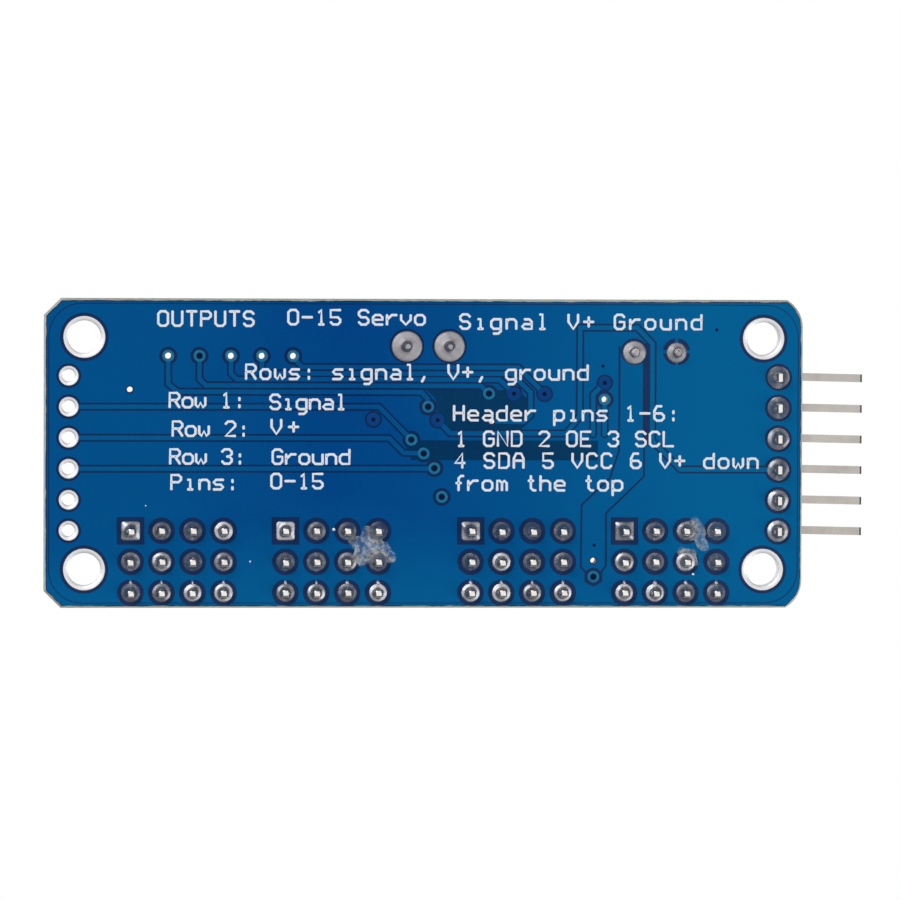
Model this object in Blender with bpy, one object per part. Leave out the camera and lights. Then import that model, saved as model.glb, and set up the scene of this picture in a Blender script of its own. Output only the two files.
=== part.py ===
"""Sixteen-channel servo driver board, modelled component side up.

Every piece is placed in the board's own frame: X along the long edge, Y towards the edge with
the supply terminals, Z out of the component side, and zero on the middle of the underside. An
empty carries that frame, and stands the whole object on its solder tails with its footprint
centred on the origin.
"""

import math

import bmesh
import bpy
from mathutils import Matrix, Vector

MM = 0.001

# Fits between pieces
GAP = 0.02 * MM  # pieces that touch or are soldered together
RUNNING = 0.05 * MM  # round a piece that turns or slides
SINK = 0.1 * MM  # how deep united shapes reach into each other
PAST = 1.0 * MM  # how far a cutter runs past the face it opens

# Flats round each kind of round shape
PIN_STEPS = 8  # pins, leads and their holes
SCREW_STEPS = 12  # screws, their wells and the winding
HOLE_STEPS = 16  # mounting holes and the bung
CAN_STEPS = 24  # can and sleeve

# Bare board
BOARD_LENGTH = 62.5 * MM
BOARD_WIDTH = 25.4 * MM
BOARD_THICKNESS = 1.6 * MM
SCORE_INSET = 0.15 * MM  # each face stands back this far from the scored edge
SCORE_DEPTH = 0.5 * MM
CHAMFER = 1.4 * MM  # the two corners at +X
CORNER_RADIUS = 2.6 * MM  # the two routed corners at -X
CORNER_SWEEP = math.radians(60)

# Mounting holes, with a tinned ring on both faces
MOUNT_INSET_X = 3.31 * MM
MOUNT_INSET_Y = 3.175 * MM
MOUNT_HOLE = 2.7 * MM
RING_WIDTH = 0.38 * MM
RING_PROUD = 0.05 * MM

# Square pins and their solder
PITCH = 2.54 * MM
PIN = 0.64 * MM
PIN_TIP = 0.16 * MM  # chamfer at each end of a pin
TAIL = 1.5 * MM  # pin left below the board
HOLE_PLAY = 0.06 * MM  # between a pin's corners and its hole
SOLDER_RADIUS = 0.78 * MM
SOLDER_HEIGHT = 1.0 * MM
SOLDER_TOP = 0.06 * MM  # solder left round the pin where the cone ends

# Servo headers: four groups of three plastic strips, four pins in each
GROUP_COLUMNS = 4
GROUP_END_INSET = 10.93 * MM  # middle of an outer group, from the board's end
GROUP_SPACING = 12.7 * MM  # outer group to inner group
EDGE_ROW_INSET = 1.27 * MM
STRIP_HEIGHT = 2.54 * MM
STRIP_WIDTH = 2.48 * MM
STRIP_NOTCH = 0.4 * MM
PIN_ABOVE_STRIP = 6.0 * MM
BAR = 0.4 * MM  # height of the bar that joins a row's pins inside the strip
ROW_NAMES = ("ground", "power", "signal")  # from the board's edge inwards

# Six-way headers at the ends: holes only at +X, bent pins at -X
CONTROL_COUNT = 6
CONTROL_INSET = 2.04 * MM
CONTROL_REACH = 5.25 * MM  # pin beyond the board's end
CONTROL_STRIP_SETBACK = 0.05 * MM  # strip's outer face, from the board's end
CONTROL_BEND_GAP = 0.1 * MM  # strip's inner face to the legs behind it
CONTROL_SKEW = math.radians(1.2)  # the row was soldered slightly askew
SPARE_HOLE = 1.0 * MM

# Screw terminals
POLES = 2
POLE_PITCH = 3.5 * MM
TERMINAL_X = -0.25 * MM
TERMINAL_EDGE = 0.3 * MM  # front face, from the board's edge
TERMINAL_DEPTH = 7.0 * MM
TERMINAL_HEIGHT = 8.5 * MM
TERMINAL_END_WALL = 0.35 * MM
TERMINAL_FLOOR = 0.8 * MM
WIRE_WIDTH = 2.0 * MM
CAGE_WIDTH = 2.7 * MM
CAGE_DEPTH = 2.3 * MM
CAGE_WALL = 0.5 * MM
CAGE_STROKE = 1.0 * MM
CAGE_WINDOW = 3.2 * MM  # height of the opening that the wire and the anvil share
FRONT_WALL = 0.75 * MM
ANVIL = 0.5 * MM
ANVIL_WIDTH = 1.2 * MM
ANVIL_DROP = 0.5 * MM  # anvil's top below the roof of the open cage's window
STRAP = 0.5 * MM  # thickness of the contact's upright
LEG = 0.8 * MM
SCREW_THREAD = 1.6 * MM
SCREW_HEAD = 2.4 * MM
SCREW_HEAD_HEIGHT = 1.0 * MM
SCREW_SLOT = 0.4 * MM
SCREW_SLOT_DEPTH = 0.5 * MM
SHOULDER = 0.4 * MM  # plastic under the screw's head
LIP_HOLE = 2.1 * MM  # the screw can't leave through the hole above it

# Electrolytic capacitor
CAN_DIAMETER = 7.7 * MM
CAN_HEIGHT = 11.8 * MM
CAN_WALL = 0.3 * MM
CAN_STANDOFF = 0.3 * MM
CAN_X_INSET = 12.25 * MM  # axis, from the board's end at -X
CAN_EDGE = 0.25 * MM  # sleeve to the board's long edge
SLEEVE = 0.15 * MM
SLEEVE_LAP = 0.9 * MM  # how far the sleeve folds in over the top
BUNG_HEIGHT = 2.0 * MM
LEAD_PITCH = 3.5 * MM
LEAD = 0.6 * MM
LEAD_TAIL = 1.1 * MM
WINDING_RELIEF = 0.3 * MM
LEAD_IN_WINDING = 1.5 * MM

# Driver chip
CHIP_X = -4.3 * MM
CHIP_BEHIND_TERMINAL = 0.3 * MM
CHIP_LENGTH = 9.7 * MM
CHIP_WIDTH = 4.4 * MM
CHIP_HEIGHT = 0.95 * MM
CHIP_STANDOFF = 0.1 * MM
CHIP_LEADS = 14  # on each long side
LEAD_STEP = 0.65 * MM
LEAD_WIDTH = 0.24 * MM
LEAD_SHEET = 0.15 * MM
LEAD_SPAN = 6.4 * MM  # toe to toe
LEAD_FOOT = 0.55 * MM
LEAD_BURIED = 0.5 * MM

# Small parts: length, width, height
ARRAY_SIZE = (3.2 * MM, 1.6 * MM, 0.55 * MM)
ARRAY_ROW_GAP = 1.6 * MM  # array to the nearest header strip
CHIP_PART_SIZE = (1.6 * MM, 0.85 * MM, 0.5 * MM)
CERAMIC_SIZE = (2.0 * MM, 1.25 * MM, 0.9 * MM)
LED_SIZE = (1.6 * MM, 0.85 * MM, 0.4 * MM)
LED_DOME = (0.9 * MM, 0.7 * MM, 0.3 * MM)
END_CAP = 0.3 * MM
END_CAP_PROUD = 0.03 * MM
TRANSISTOR_SIZE = (2.9 * MM, 1.35 * MM, 1.0 * MM)
TRANSISTOR_SPAN = 2.5 * MM

# Heights and places that follow from the sizes above
BOARD_TOP = BOARD_THICKNESS
ROW_COUNT = len(ROW_NAMES)
PIN_TOP = BOARD_TOP + STRIP_HEIGHT + PIN_ABOVE_STRIP
PIN_HOLE = PIN * math.sqrt(2) + 2 * HOLE_PLAY
SLEEVE_DIAMETER = CAN_DIAMETER + 2 * (SLEEVE + GAP)
OUTER_GROUP_X = BOARD_LENGTH / 2 - GROUP_END_INSET
GROUP_X = (
    OUTER_GROUP_X,
    OUTER_GROUP_X - GROUP_SPACING,
    GROUP_SPACING - OUTER_GROUP_X,
    -OUTER_GROUP_X,
)
CONTROL_X = BOARD_LENGTH / 2 - CONTROL_INSET
TERMINAL_FRONT = BOARD_WIDTH / 2 - TERMINAL_EDGE
CAGE_Y = TERMINAL_FRONT - FRONT_WALL - CAGE_DEPTH / 2
STRAP_Y = CAGE_Y - CAGE_DEPTH / 2 - 2 * RUNNING - STRAP / 2
CAGE_FLOOR = BOARD_TOP + GAP + TERMINAL_FLOOR + RUNNING
WINDOW_FLOOR = CAGE_FLOOR + CAGE_WALL
WINDOW_ROOF = WINDOW_FLOOR + CAGE_WINDOW
ANVIL_TOP = WINDOW_ROOF - ANVIL_DROP
CAGE_ROOF = WINDOW_ROOF + CAGE_WALL
CAVITY_ROOF = CAGE_ROOF + CAGE_STROKE + RUNNING
HEAD_SEAT = CAVITY_ROOF + SHOULDER
CHIP_Y = TERMINAL_FRONT - TERMINAL_DEPTH - CHIP_BEHIND_TERMINAL - LEAD_SPAN / 2
CAN_X = CAN_X_INSET - BOARD_LENGTH / 2
CAN_Y = BOARD_WIDTH / 2 - CAN_EDGE - SLEEVE_DIAMETER / 2
CAN_BASE = BOARD_TOP + CAN_STANDOFF


def place_frame():
    """The empty that carries the board's frame."""
    frame = bpy.data.objects.new("board_frame", None)
    frame.location = (CONTROL_REACH / 2, 0, TAIL)
    bpy.context.scene.collection.objects.link(frame)
    return frame


def make_material(name, colour, roughness, metallic=0.0):
    material = bpy.data.materials.new(name)
    material.use_nodes = True
    shader = material.node_tree.nodes["Principled BSDF"]
    shader.inputs["Base Color"].default_value = (*colour, 1)
    shader.inputs["Roughness"].default_value = roughness
    shader.inputs["Metallic"].default_value = metallic
    return material


def add_piece(name, shape, place, material):
    """Makes an object from a bmesh, at its place in the board's frame."""
    bmesh.ops.recalc_face_normals(shape, faces=shape.faces)
    mesh = bpy.data.meshes.new(name)
    shape.to_mesh(mesh)
    shape.free()
    piece = bpy.data.objects.new(name, mesh)
    piece.location = place
    if material:
        mesh.materials.append(material)
    bpy.context.scene.collection.objects.link(piece)
    piece.parent = bpy.data.objects["board_frame"]
    return piece


def smooth(piece):
    piece.data.shade_smooth()
    piece.data.set_sharp_from_angle(angle=math.radians(35))


def combine(piece, shape, operation, name):
    """Cuts or unites a piece with a helper that has the same place."""
    helper = add_piece(name, shape, piece.location, None)
    helper.hide_render = True
    helper.display_type = "WIRE"
    modifier = piece.modifiers.new(name, "BOOLEAN")
    modifier.operation = operation
    modifier.object = helper


def add_box(shape, low, high):
    size = Vector(high) - Vector(low)
    middle = (Vector(high) + Vector(low)) / 2
    matrix = Matrix.Translation(middle) @ Matrix.Diagonal((*size, 1))
    bmesh.ops.create_cube(shape, size=1, matrix=matrix)


def add_cone(shape, place, bottom_radius, top_radius, low, high, segments):
    matrix = Matrix.Translation((place[0], place[1], (low + high) / 2))
    bmesh.ops.create_cone(
        shape,
        cap_ends=True,
        segments=segments,
        radius1=bottom_radius,
        radius2=top_radius,
        depth=high - low,
        matrix=matrix,
    )


def add_rod(shape, place, diameter, low, high, segments=PIN_STEPS):
    """A round rod or cutter whose flats, not its corners, lie on the diameter."""
    radius = diameter / 2 / math.cos(math.pi / segments)
    add_cone(shape, place, radius, radius, low, high, segments)


def add_prism(shape, outline, direction):
    """Extrudes a flat outline of points along a direction."""
    face = shape.faces.new([shape.verts.new(point) for point in outline])
    raised = bmesh.ops.extrude_face_region(shape, geom=[face])["geom"]
    corners = [item for item in raised if isinstance(item, bmesh.types.BMVert)]
    bmesh.ops.translate(shape, verts=corners, vec=direction)
    return corners


def add_solder(shape, place, low, pin_width, radius=SOLDER_RADIUS):
    """A cone of solder under the board, round a pin that ends at the given height."""
    height = min(SOLDER_HEIGHT, -low - 2 * PIN_TIP)
    top_radius = pin_width / 2 + SOLDER_TOP
    add_cone(shape, place, top_radius, radius, -GAP - height, -GAP, PIN_STEPS)


def row_places(count, pitch=PITCH):
    return [(index - (count - 1) / 2) * pitch for index in range(count)]


def board_outline():
    half_length = BOARD_LENGTH / 2
    half_width = BOARD_WIDTH / 2
    middle_x = CORNER_RADIUS - half_length
    middle_y = half_width - CORNER_RADIUS * math.sin(CORNER_SWEEP)
    steps = 5
    arc = []
    for step in range(steps + 1):
        angle = math.pi - CORNER_SWEEP * step / steps
        x = middle_x + CORNER_RADIUS * math.cos(angle)
        arc.append((x, middle_y + CORNER_RADIUS * math.sin(angle)))
    upper = arc + [(half_length - CHAMFER, half_width), (half_length, half_width - CHAMFER)]
    lower = [(x, -y) for x, y in reversed(upper)]
    return upper + lower


def mount_places():
    x = BOARD_LENGTH / 2 - MOUNT_INSET_X
    y = BOARD_WIDTH / 2 - MOUNT_INSET_Y
    return [(x, y), (-x, y), (-x, -y), (x, -y)]


def servo_row_y(row):
    return EDGE_ROW_INSET + row * PITCH - BOARD_WIDTH / 2


def lead_x():
    return [CAN_X - LEAD_PITCH / 2, CAN_X + LEAD_PITCH / 2]


def pole_x():
    return [TERMINAL_X + offset for offset in row_places(POLES, POLE_PITCH)]


def board_holes():
    """Every hole through the board: place, diameter, segments."""
    holes = [(place, MOUNT_HOLE, HOLE_STEPS) for place in mount_places()]
    for y in row_places(CONTROL_COUNT):
        holes.append(((CONTROL_X, y), SPARE_HOLE, PIN_STEPS))
        holes.append(((-CONTROL_X, y), PIN_HOLE, PIN_STEPS))
    for group in GROUP_X:
        for x in row_places(GROUP_COLUMNS):
            for row in range(ROW_COUNT):
                holes.append(((group + x, servo_row_y(row)), PIN_HOLE, PIN_STEPS))
    for x in pole_x():
        holes.append(((x, STRAP_Y), LEG * math.sqrt(2) + 2 * HOLE_PLAY, PIN_STEPS))
    for x in lead_x():
        holes.append(((x, CAN_Y), LEAD + 2 * HOLE_PLAY, PIN_STEPS))
    return holes


def make_board(material):
    shape = bmesh.new()
    outline = [(x, y, SCORE_DEPTH) for x, y in board_outline()]
    add_prism(shape, outline, (0, 0, BOARD_THICKNESS - 2 * SCORE_DEPTH))
    bmesh.ops.recalc_face_normals(shape, faces=shape.faces)
    faces = [face for face in shape.faces if abs(face.normal.z) > 0.9]
    bmesh.ops.inset_region(
        shape,
        faces=faces,
        thickness=SCORE_INSET,
        depth=SCORE_DEPTH,
        use_even_offset=True,
        use_boundary=True,
    )
    board = add_piece("circuit_board", shape, (0, 0, 0), material)
    rings = bmesh.new()
    for place in mount_places():
        diameter = MOUNT_HOLE + 2 * RING_WIDTH
        add_rod(rings, place, diameter, -RING_PROUD, BOARD_TOP + RING_PROUD, HOLE_STEPS)
    combine(board, rings, "UNION", "mount_rings")
    holes = bmesh.new()
    for place, diameter, segments in board_holes():
        add_rod(holes, place, diameter, -PAST, BOARD_TOP + PAST, segments)
    combine(board, holes, "DIFFERENCE", "board_holes")


def strip_outline(count, width, low):
    """A header strip seen from above, with a notch between each two pins."""
    half_width = width / 2
    half = PITCH / 2
    front = []
    for x in row_places(count):
        front.append((x - half, STRIP_NOTCH - half_width, low))
        front.append((x - half + STRIP_NOTCH, -half_width, low))
        front.append((x + half - STRIP_NOTCH, -half_width, low))
    front.append((count * half, STRIP_NOTCH - half_width, low))
    back = [(-x, -y, z) for x, y, z in front]
    return front + back


def comb_outline(low, high, pin, tip, bar):
    """Four upright pins joined by a bar at the middle of the strip's height, seen from Y."""
    half = pin / 2
    middle = BOARD_TOP + STRIP_HEIGHT / 2
    places = row_places(GROUP_COLUMNS)
    below = []
    for x in places:
        below.append((x - half, middle - bar / 2))
        below.append((x - half, low + tip))
        below.append((x - half + tip, low))
        below.append((x + half - tip, low))
        below.append((x + half, low + tip))
        below.append((x + half, middle - bar / 2))
    above = []
    for x in reversed(places):
        above.append((x + half, middle + bar / 2))
        above.append((x + half, high - tip))
        above.append((x + half - tip, high))
        above.append((x - half + tip, high))
        above.append((x - half, high - tip))
        above.append((x - half, middle + bar / 2))
    return below[1:-1] + above[1:-1]


def add_comb(shape, low, high, pin, tip, bar):
    outline = [(x, -pin / 2, z) for x, z in comb_outline(low, high, pin, tip, bar)]
    add_prism(shape, outline, (0, pin, 0))


def make_servo_row(number, x, row, strip_material, pin_material):
    """One plastic strip and its four pins."""
    name = f"{ROW_NAMES[row]}_{number}"
    place = (x, servo_row_y(row), 0)
    plastic = bmesh.new()
    outline = strip_outline(GROUP_COLUMNS, STRIP_WIDTH, BOARD_TOP + GAP)
    add_prism(plastic, outline, (0, 0, STRIP_HEIGHT - GAP))
    strip = add_piece(f"servo_strip_{name}", plastic, place, strip_material)
    room = bmesh.new()
    width = PIN + 2 * GAP
    add_comb(room, -PAST, PIN_TOP + PAST, width, PIN_TIP, BAR + 2 * GAP)
    combine(strip, room, "DIFFERENCE", f"pin_room_{name}")

    metal = bmesh.new()
    add_comb(metal, -TAIL, PIN_TOP, PIN, PIN_TIP, BAR)
    pins = add_piece(f"servo_pins_{name}", metal, place, pin_material)
    solder = bmesh.new()
    for offset in row_places(GROUP_COLUMNS):
        add_solder(solder, (offset, 0), -TAIL, PIN)
    combine(pins, solder, "UNION", f"solder_{name}")


def make_control_header(strip_material, pin_material):
    """The six-way strip at the board's end: each pin passes through it and turns down behind it."""
    inner_x = -CONTROL_X - PIN / 2 - CONTROL_BEND_GAP
    outer_x = CONTROL_STRIP_SETBACK - BOARD_LENGTH / 2
    depth = inner_x - outer_x
    axis = BOARD_TOP + GAP + STRIP_HEIGHT / 2
    plastic = bmesh.new()
    outline = strip_outline(CONTROL_COUNT, depth, BOARD_TOP + GAP)
    add_prism(plastic, outline, (0, 0, STRIP_HEIGHT - GAP))
    bmesh.ops.rotate(plastic, verts=plastic.verts, matrix=Matrix.Rotation(math.pi / 2, 3, "Z"))
    place = ((inner_x + outer_x) / 2, 0, 0)
    strip = add_piece("control_header_strip", plastic, place, strip_material)
    room = bmesh.new()
    half = PIN / 2 + GAP
    lean = depth * math.tan(CONTROL_SKEW)
    for y in row_places(CONTROL_COUNT):
        add_box(room, (-depth, y - half - lean, axis - half), (depth, y + half, axis + half))
    combine(strip, room, "DIFFERENCE", "control_pin_room")

    half = PIN / 2
    under = axis - half
    reach = CONTROL_INSET + CONTROL_REACH
    outline = [
        (-half, -TAIL + PIN_TIP),
        (PIN_TIP - half, -TAIL),
        (half - PIN_TIP, -TAIL),
        (half, -TAIL + PIN_TIP),
        (half, under + half),
        (half - PIN / 4, under + PIN - PIN / 8),
        (-PIN / 8, under + PIN),
        (PIN_TIP - reach, under + PIN),
        (-reach, under + PIN - PIN_TIP),
        (-reach, under + PIN_TIP),
        (PIN_TIP - reach, under),
        (-half, under),
    ]
    for number, y in enumerate(row_places(CONTROL_COUNT), 1):
        metal = bmesh.new()
        add_prism(metal, [(x, -half, z) for x, z in outline], (0, PIN, 0))
        for corner in metal.verts:
            beyond = max(0.0, -half - corner.co.x)
            corner.co.y -= beyond * math.tan(CONTROL_SKEW)
        pin = add_piece(f"control_pin_{number}", metal, (-CONTROL_X, y, 0), pin_material)
        solder = bmesh.new()
        add_solder(solder, (0, 0), -TAIL, PIN)
        combine(pin, solder, "UNION", f"control_solder_{number}")


def make_terminal_housing(material):
    half_length = POLES * POLE_PITCH / 2 + TERMINAL_END_WALL
    base = BOARD_TOP + GAP
    top = BOARD_TOP + TERMINAL_HEIGHT
    back = TERMINAL_FRONT - TERMINAL_DEPTH
    shape = bmesh.new()
    add_box(shape, (-half_length, back, base), (half_length, TERMINAL_FRONT, top))
    housing = add_piece("terminal_housing", shape, (TERMINAL_X, 0, 0), material)
    cuts = {"cages": bmesh.new(), "entries": bmesh.new(), "wells": bmesh.new()}
    cuts["screws"] = bmesh.new()
    cuts["lips"] = bmesh.new()
    cuts["legs"] = bmesh.new()
    half_cage = CAGE_WIDTH / 2 + RUNNING
    cage_back = STRAP_Y - STRAP / 2 - GAP
    cage_front = CAGE_Y + CAGE_DEPTH / 2 + RUNNING
    for x in row_places(POLES, POLE_PITCH):
        low = (x - half_cage, cage_back, base + TERMINAL_FLOOR)
        add_box(cuts["cages"], low, (x + half_cage, cage_front, CAVITY_ROOF))
        low = (x - WIRE_WIDTH / 2, CAGE_Y, WINDOW_FLOOR)
        high = (x + WIRE_WIDTH / 2, TERMINAL_FRONT + PAST, ANVIL_TOP - ANVIL)
        add_box(cuts["entries"], low, high)
        place = (x, CAGE_Y)
        head_top = HEAD_SEAT + SCREW_HEAD_HEIGHT + 2 * RUNNING
        add_rod(cuts["wells"], place, SCREW_HEAD + 2 * RUNNING, HEAD_SEAT, head_top, SCREW_STEPS)
        shank = SCREW_THREAD + 2 * RUNNING
        add_rod(cuts["screws"], place, shank, CAVITY_ROOF - SINK, HEAD_SEAT + SINK, SCREW_STEPS)
        add_rod(cuts["lips"], place, LIP_HOLE, head_top - SINK, top + PAST, SCREW_STEPS)
        half_leg = LEG / 2 + GAP
        low = (x - half_leg, STRAP_Y - half_leg, base - PAST)
        high = (x + half_leg, STRAP_Y + half_leg, base + TERMINAL_FLOOR + SINK)
        add_box(cuts["legs"], low, high)
    for name, cut in cuts.items():
        combine(housing, cut, "DIFFERENCE", f"terminal_{name}")


def make_cage(number, x, material):
    """The clamp that rises round the anvil as its screw turns."""
    half_width = CAGE_WIDTH / 2
    half_depth = CAGE_DEPTH / 2
    shape = bmesh.new()
    add_box(shape, (-half_width, -half_depth, CAGE_FLOOR), (half_width, half_depth, CAGE_ROOF))
    cage = add_piece(f"wire_cage_{number}", shape, (x, CAGE_Y, 0), material)
    window = bmesh.new()
    half_window = half_width - CAGE_WALL / 2
    low = (-half_window, -half_depth - PAST, WINDOW_FLOOR)
    add_box(window, low, (half_window, half_depth + PAST, WINDOW_ROOF))
    combine(cage, window, "DIFFERENCE", f"cage_window_{number}")
    thread = bmesh.new()
    diameter = SCREW_THREAD + 2 * RUNNING
    add_rod(thread, (0, 0), diameter, WINDOW_ROOF - SINK, CAGE_ROOF + SINK, SCREW_STEPS)
    combine(cage, thread, "DIFFERENCE", f"cage_thread_{number}")


def make_terminal_screw(number, x, material):
    tip = ANVIL_TOP + 3 * RUNNING
    head = HEAD_SEAT + RUNNING
    profile = [
        (0, tip),
        (SCREW_THREAD / 2, tip),
        (SCREW_THREAD / 2, head),
        (SCREW_HEAD / 2, head),
        (SCREW_HEAD / 2, head + SCREW_HEAD_HEIGHT),
        (0, head + SCREW_HEAD_HEIGHT),
    ]
    shape = turned(profile, SCREW_STEPS)
    screw = add_piece(f"terminal_screw_{number}", shape, (x, CAGE_Y, 0), material)
    slot = bmesh.new()
    top = head + SCREW_HEAD_HEIGHT
    half = SCREW_SLOT / 2
    low = (-SCREW_HEAD, -half, top - SCREW_SLOT_DEPTH)
    add_box(slot, low, (SCREW_HEAD, half, top + PAST))
    combine(screw, slot, "DIFFERENCE", f"screw_slot_{number}")
    smooth(screw)


def make_contact(number, x, material):
    """The leg, upright and anvil of one pole, in one piece."""
    half = ANVIL_WIDTH / 2
    anvil_front = CAGE_Y + CAGE_DEPTH / 2 - STRAP_Y
    strap_low = BOARD_TOP + GAP + TERMINAL_FLOOR + GAP
    outline = [
        (-STRAP / 2, strap_low),
        (STRAP / 2, strap_low),
        (STRAP / 2, ANVIL_TOP - ANVIL),
        (anvil_front, ANVIL_TOP - ANVIL),
        (anvil_front, ANVIL_TOP),
        (-STRAP / 2, ANVIL_TOP),
    ]
    shape = bmesh.new()
    add_prism(shape, [(-half, y, z) for y, z in outline], (ANVIL_WIDTH, 0, 0))
    name = f"terminal_contact_{number}"
    contact = add_piece(name, shape, (x, STRAP_Y, 0), material)
    leg = bmesh.new()
    add_box(leg, (-LEG / 2, -STRAP / 2, -LEAD_TAIL), (LEG / 2, STRAP / 2, strap_low + SINK))
    combine(contact, leg, "UNION", f"terminal_leg_{number}")
    solder = bmesh.new()
    add_solder(solder, (0, 0), -LEAD_TAIL, LEG, SOLDER_RADIUS + LEG / 2)
    combine(contact, solder, "UNION", f"terminal_solder_{number}")


def turned(profile, segments):
    """A solid of revolution about Z, from a profile of radius and height."""
    shape = bmesh.new()
    points = [shape.verts.new((radius, 0, z)) for radius, z in profile]
    edges = [shape.edges.new(pair) for pair in zip(points, points[1:])]
    if profile[0][0] > 0:
        edges.append(shape.edges.new((points[-1], points[0])))
    bmesh.ops.spin(
        shape,
        geom=points + edges,
        cent=(0, 0, 0),
        axis=(0, 0, 1),
        angle=math.tau,
        steps=segments,
        use_merge=True,
    )
    bmesh.ops.remove_doubles(shape, verts=shape.verts, dist=GAP / 20)
    return shape


def make_capacitor(can_material, sleeve_material, rubber_material, winding_material, lead_material):
    place = (CAN_X, CAN_Y, 0)
    outer = CAN_DIAMETER / 2
    inner = outer - CAN_WALL
    top = CAN_BASE + CAN_HEIGHT
    can = [(inner, CAN_BASE), (outer, CAN_BASE), (outer, top), (0, top)]
    shape = turned(can, CAN_STEPS)
    piece = add_piece("capacitor_can", shape, place, can_material)
    hollow = bmesh.new()
    add_rod(hollow, (0, 0), 2 * inner, CAN_BASE - PAST, top - CAN_WALL, HOLE_STEPS)
    combine(piece, hollow, "DIFFERENCE", "can_hollow")
    smooth(piece)

    sleeve_outer = SLEEVE_DIAMETER / 2
    sleeve = [
        (sleeve_outer, CAN_BASE),
        (sleeve_outer, top + GAP + SLEEVE),
        (outer - SLEEVE_LAP, top + GAP + SLEEVE),
        (outer - SLEEVE_LAP, top + GAP),
        (outer + GAP, top + GAP),
        (outer + GAP, CAN_BASE),
    ]
    smooth(add_piece("capacitor_sleeve", turned(sleeve, CAN_STEPS), place, sleeve_material))

    bung_top = CAN_BASE + BUNG_HEIGHT
    bung = bmesh.new()
    add_cone(bung, (0, 0), inner - GAP, inner - GAP, CAN_BASE, bung_top, HOLE_STEPS)
    stopper = add_piece("capacitor_bung", bung, place, rubber_material)
    rooms = bmesh.new()
    for x in (-LEAD_PITCH / 2, LEAD_PITCH / 2):
        add_rod(rooms, (x, 0), LEAD + 2 * GAP, CAN_BASE - PAST, bung_top + PAST)
    combine(stopper, rooms, "DIFFERENCE", "bung_holes")

    winding_low = bung_top + WINDING_RELIEF
    winding_high = top - CAN_WALL - WINDING_RELIEF
    roll = bmesh.new()
    radius = inner - WINDING_RELIEF
    add_cone(roll, (0, 0), radius, radius, winding_low, winding_high, SCREW_STEPS)
    winding = add_piece("capacitor_winding", roll, place, winding_material)
    lead_top = winding_low + LEAD_IN_WINDING
    sockets = bmesh.new()
    for x in (-LEAD_PITCH / 2, LEAD_PITCH / 2):
        add_rod(sockets, (x, 0), LEAD + 2 * GAP, winding_low - PAST, lead_top + GAP)
    combine(winding, sockets, "DIFFERENCE", "winding_sockets")

    for number, x in enumerate(lead_x(), 1):
        rod = bmesh.new()
        add_cone(rod, (0, 0), LEAD / 2, LEAD / 2, -LEAD_TAIL, lead_top, PIN_STEPS)
        lead = add_piece(f"capacitor_lead_{number}", rod, (x, CAN_Y, 0), lead_material)
        solder = bmesh.new()
        add_solder(solder, (0, 0), -LEAD_TAIL, LEAD, SOLDER_RADIUS + SINK)
        combine(lead, solder, "UNION", f"capacitor_solder_{number}")


def make_chip(body_material, lead_material):
    """The driver chip's body and the two rows of leads that a bar joins inside it."""
    base = BOARD_TOP + CHIP_STANDOFF
    middle = base + CHIP_HEIGHT / 2
    half_length = CHIP_LENGTH / 2
    half_width = CHIP_WIDTH / 2
    shape = bmesh.new()
    add_box(shape, (-half_length, -half_width, base), (half_length, half_width, base + CHIP_HEIGHT))
    body = add_piece("driver_chip", shape, (CHIP_X, CHIP_Y, 0), body_material)
    sheet = LEAD_SHEET / 2
    bar_half = (CHIP_LEADS - 1) * LEAD_STEP / 2 + LEAD_WIDTH / 2
    for name, side in (("front", -1), ("back", 1)):
        rooms = bmesh.new()
        inner = half_width - LEAD_BURIED - GAP
        ends = sorted((side * inner, side * (half_width + PAST)))
        low = (-bar_half - GAP, ends[0], middle - sheet - GAP)
        add_box(rooms, low, (bar_half + GAP, ends[1], middle + sheet + GAP))
        combine(body, rooms, "DIFFERENCE", f"chip_slot_{name}")

        inner = side * (half_width - LEAD_BURIED)
        edge = side * (half_width + GAP)
        knee = side * (LEAD_SPAN / 2 - LEAD_FOOT)
        toe = side * LEAD_SPAN / 2
        foot = BOARD_TOP + GAP
        outline = [
            (edge - side * SINK, middle - sheet),
            (knee - side * LEAD_SHEET, middle - sheet),
            (knee - side * LEAD_SHEET, foot),
            (toe, foot),
            (toe, foot + LEAD_SHEET),
            (knee, foot + LEAD_SHEET),
            (knee, middle + sheet),
            (edge - side * SINK, middle + sheet),
        ]
        metal = bmesh.new()
        ends = sorted((inner, edge - side * GAP))
        add_box(metal, (-bar_half, ends[0], middle - sheet), (bar_half, ends[1], middle + sheet))
        row = add_piece(f"chip_leads_{name}", metal, (CHIP_X, CHIP_Y, 0), lead_material)
        wings = bmesh.new()
        for x in row_places(CHIP_LEADS, LEAD_STEP):
            points = [(x - LEAD_WIDTH / 2, y, z) for y, z in outline]
            add_prism(wings, points, (LEAD_WIDTH, 0, 0))
        combine(row, wings, "UNION", f"chip_wings_{name}")


def make_capped_part(name, place, size, material, turn=0.0):
    """A two-ended surface part: a body whose metal ends stand slightly proud."""
    length, width, height = size
    half = width / 2
    base = BOARD_TOP + GAP
    rise = base + height
    proud = END_CAP_PROUD
    inner = length / 2 - END_CAP
    outline = [
        (-length / 2, base),
        (-inner, base),
        (-inner, base + proud),
        (inner, base + proud),
        (inner, base),
        (length / 2, base),
        (length / 2, rise),
        (inner, rise),
        (inner, rise - proud),
        (-inner, rise - proud),
        (-inner, rise),
        (-length / 2, rise),
    ]
    shape = bmesh.new()
    add_prism(shape, [(x, -half, z) for x, z in outline], (0, width, 0))
    piece = add_piece(name, shape, (*place, 0), material)
    piece.rotation_euler = (0, 0, turn)
    return piece


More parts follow.
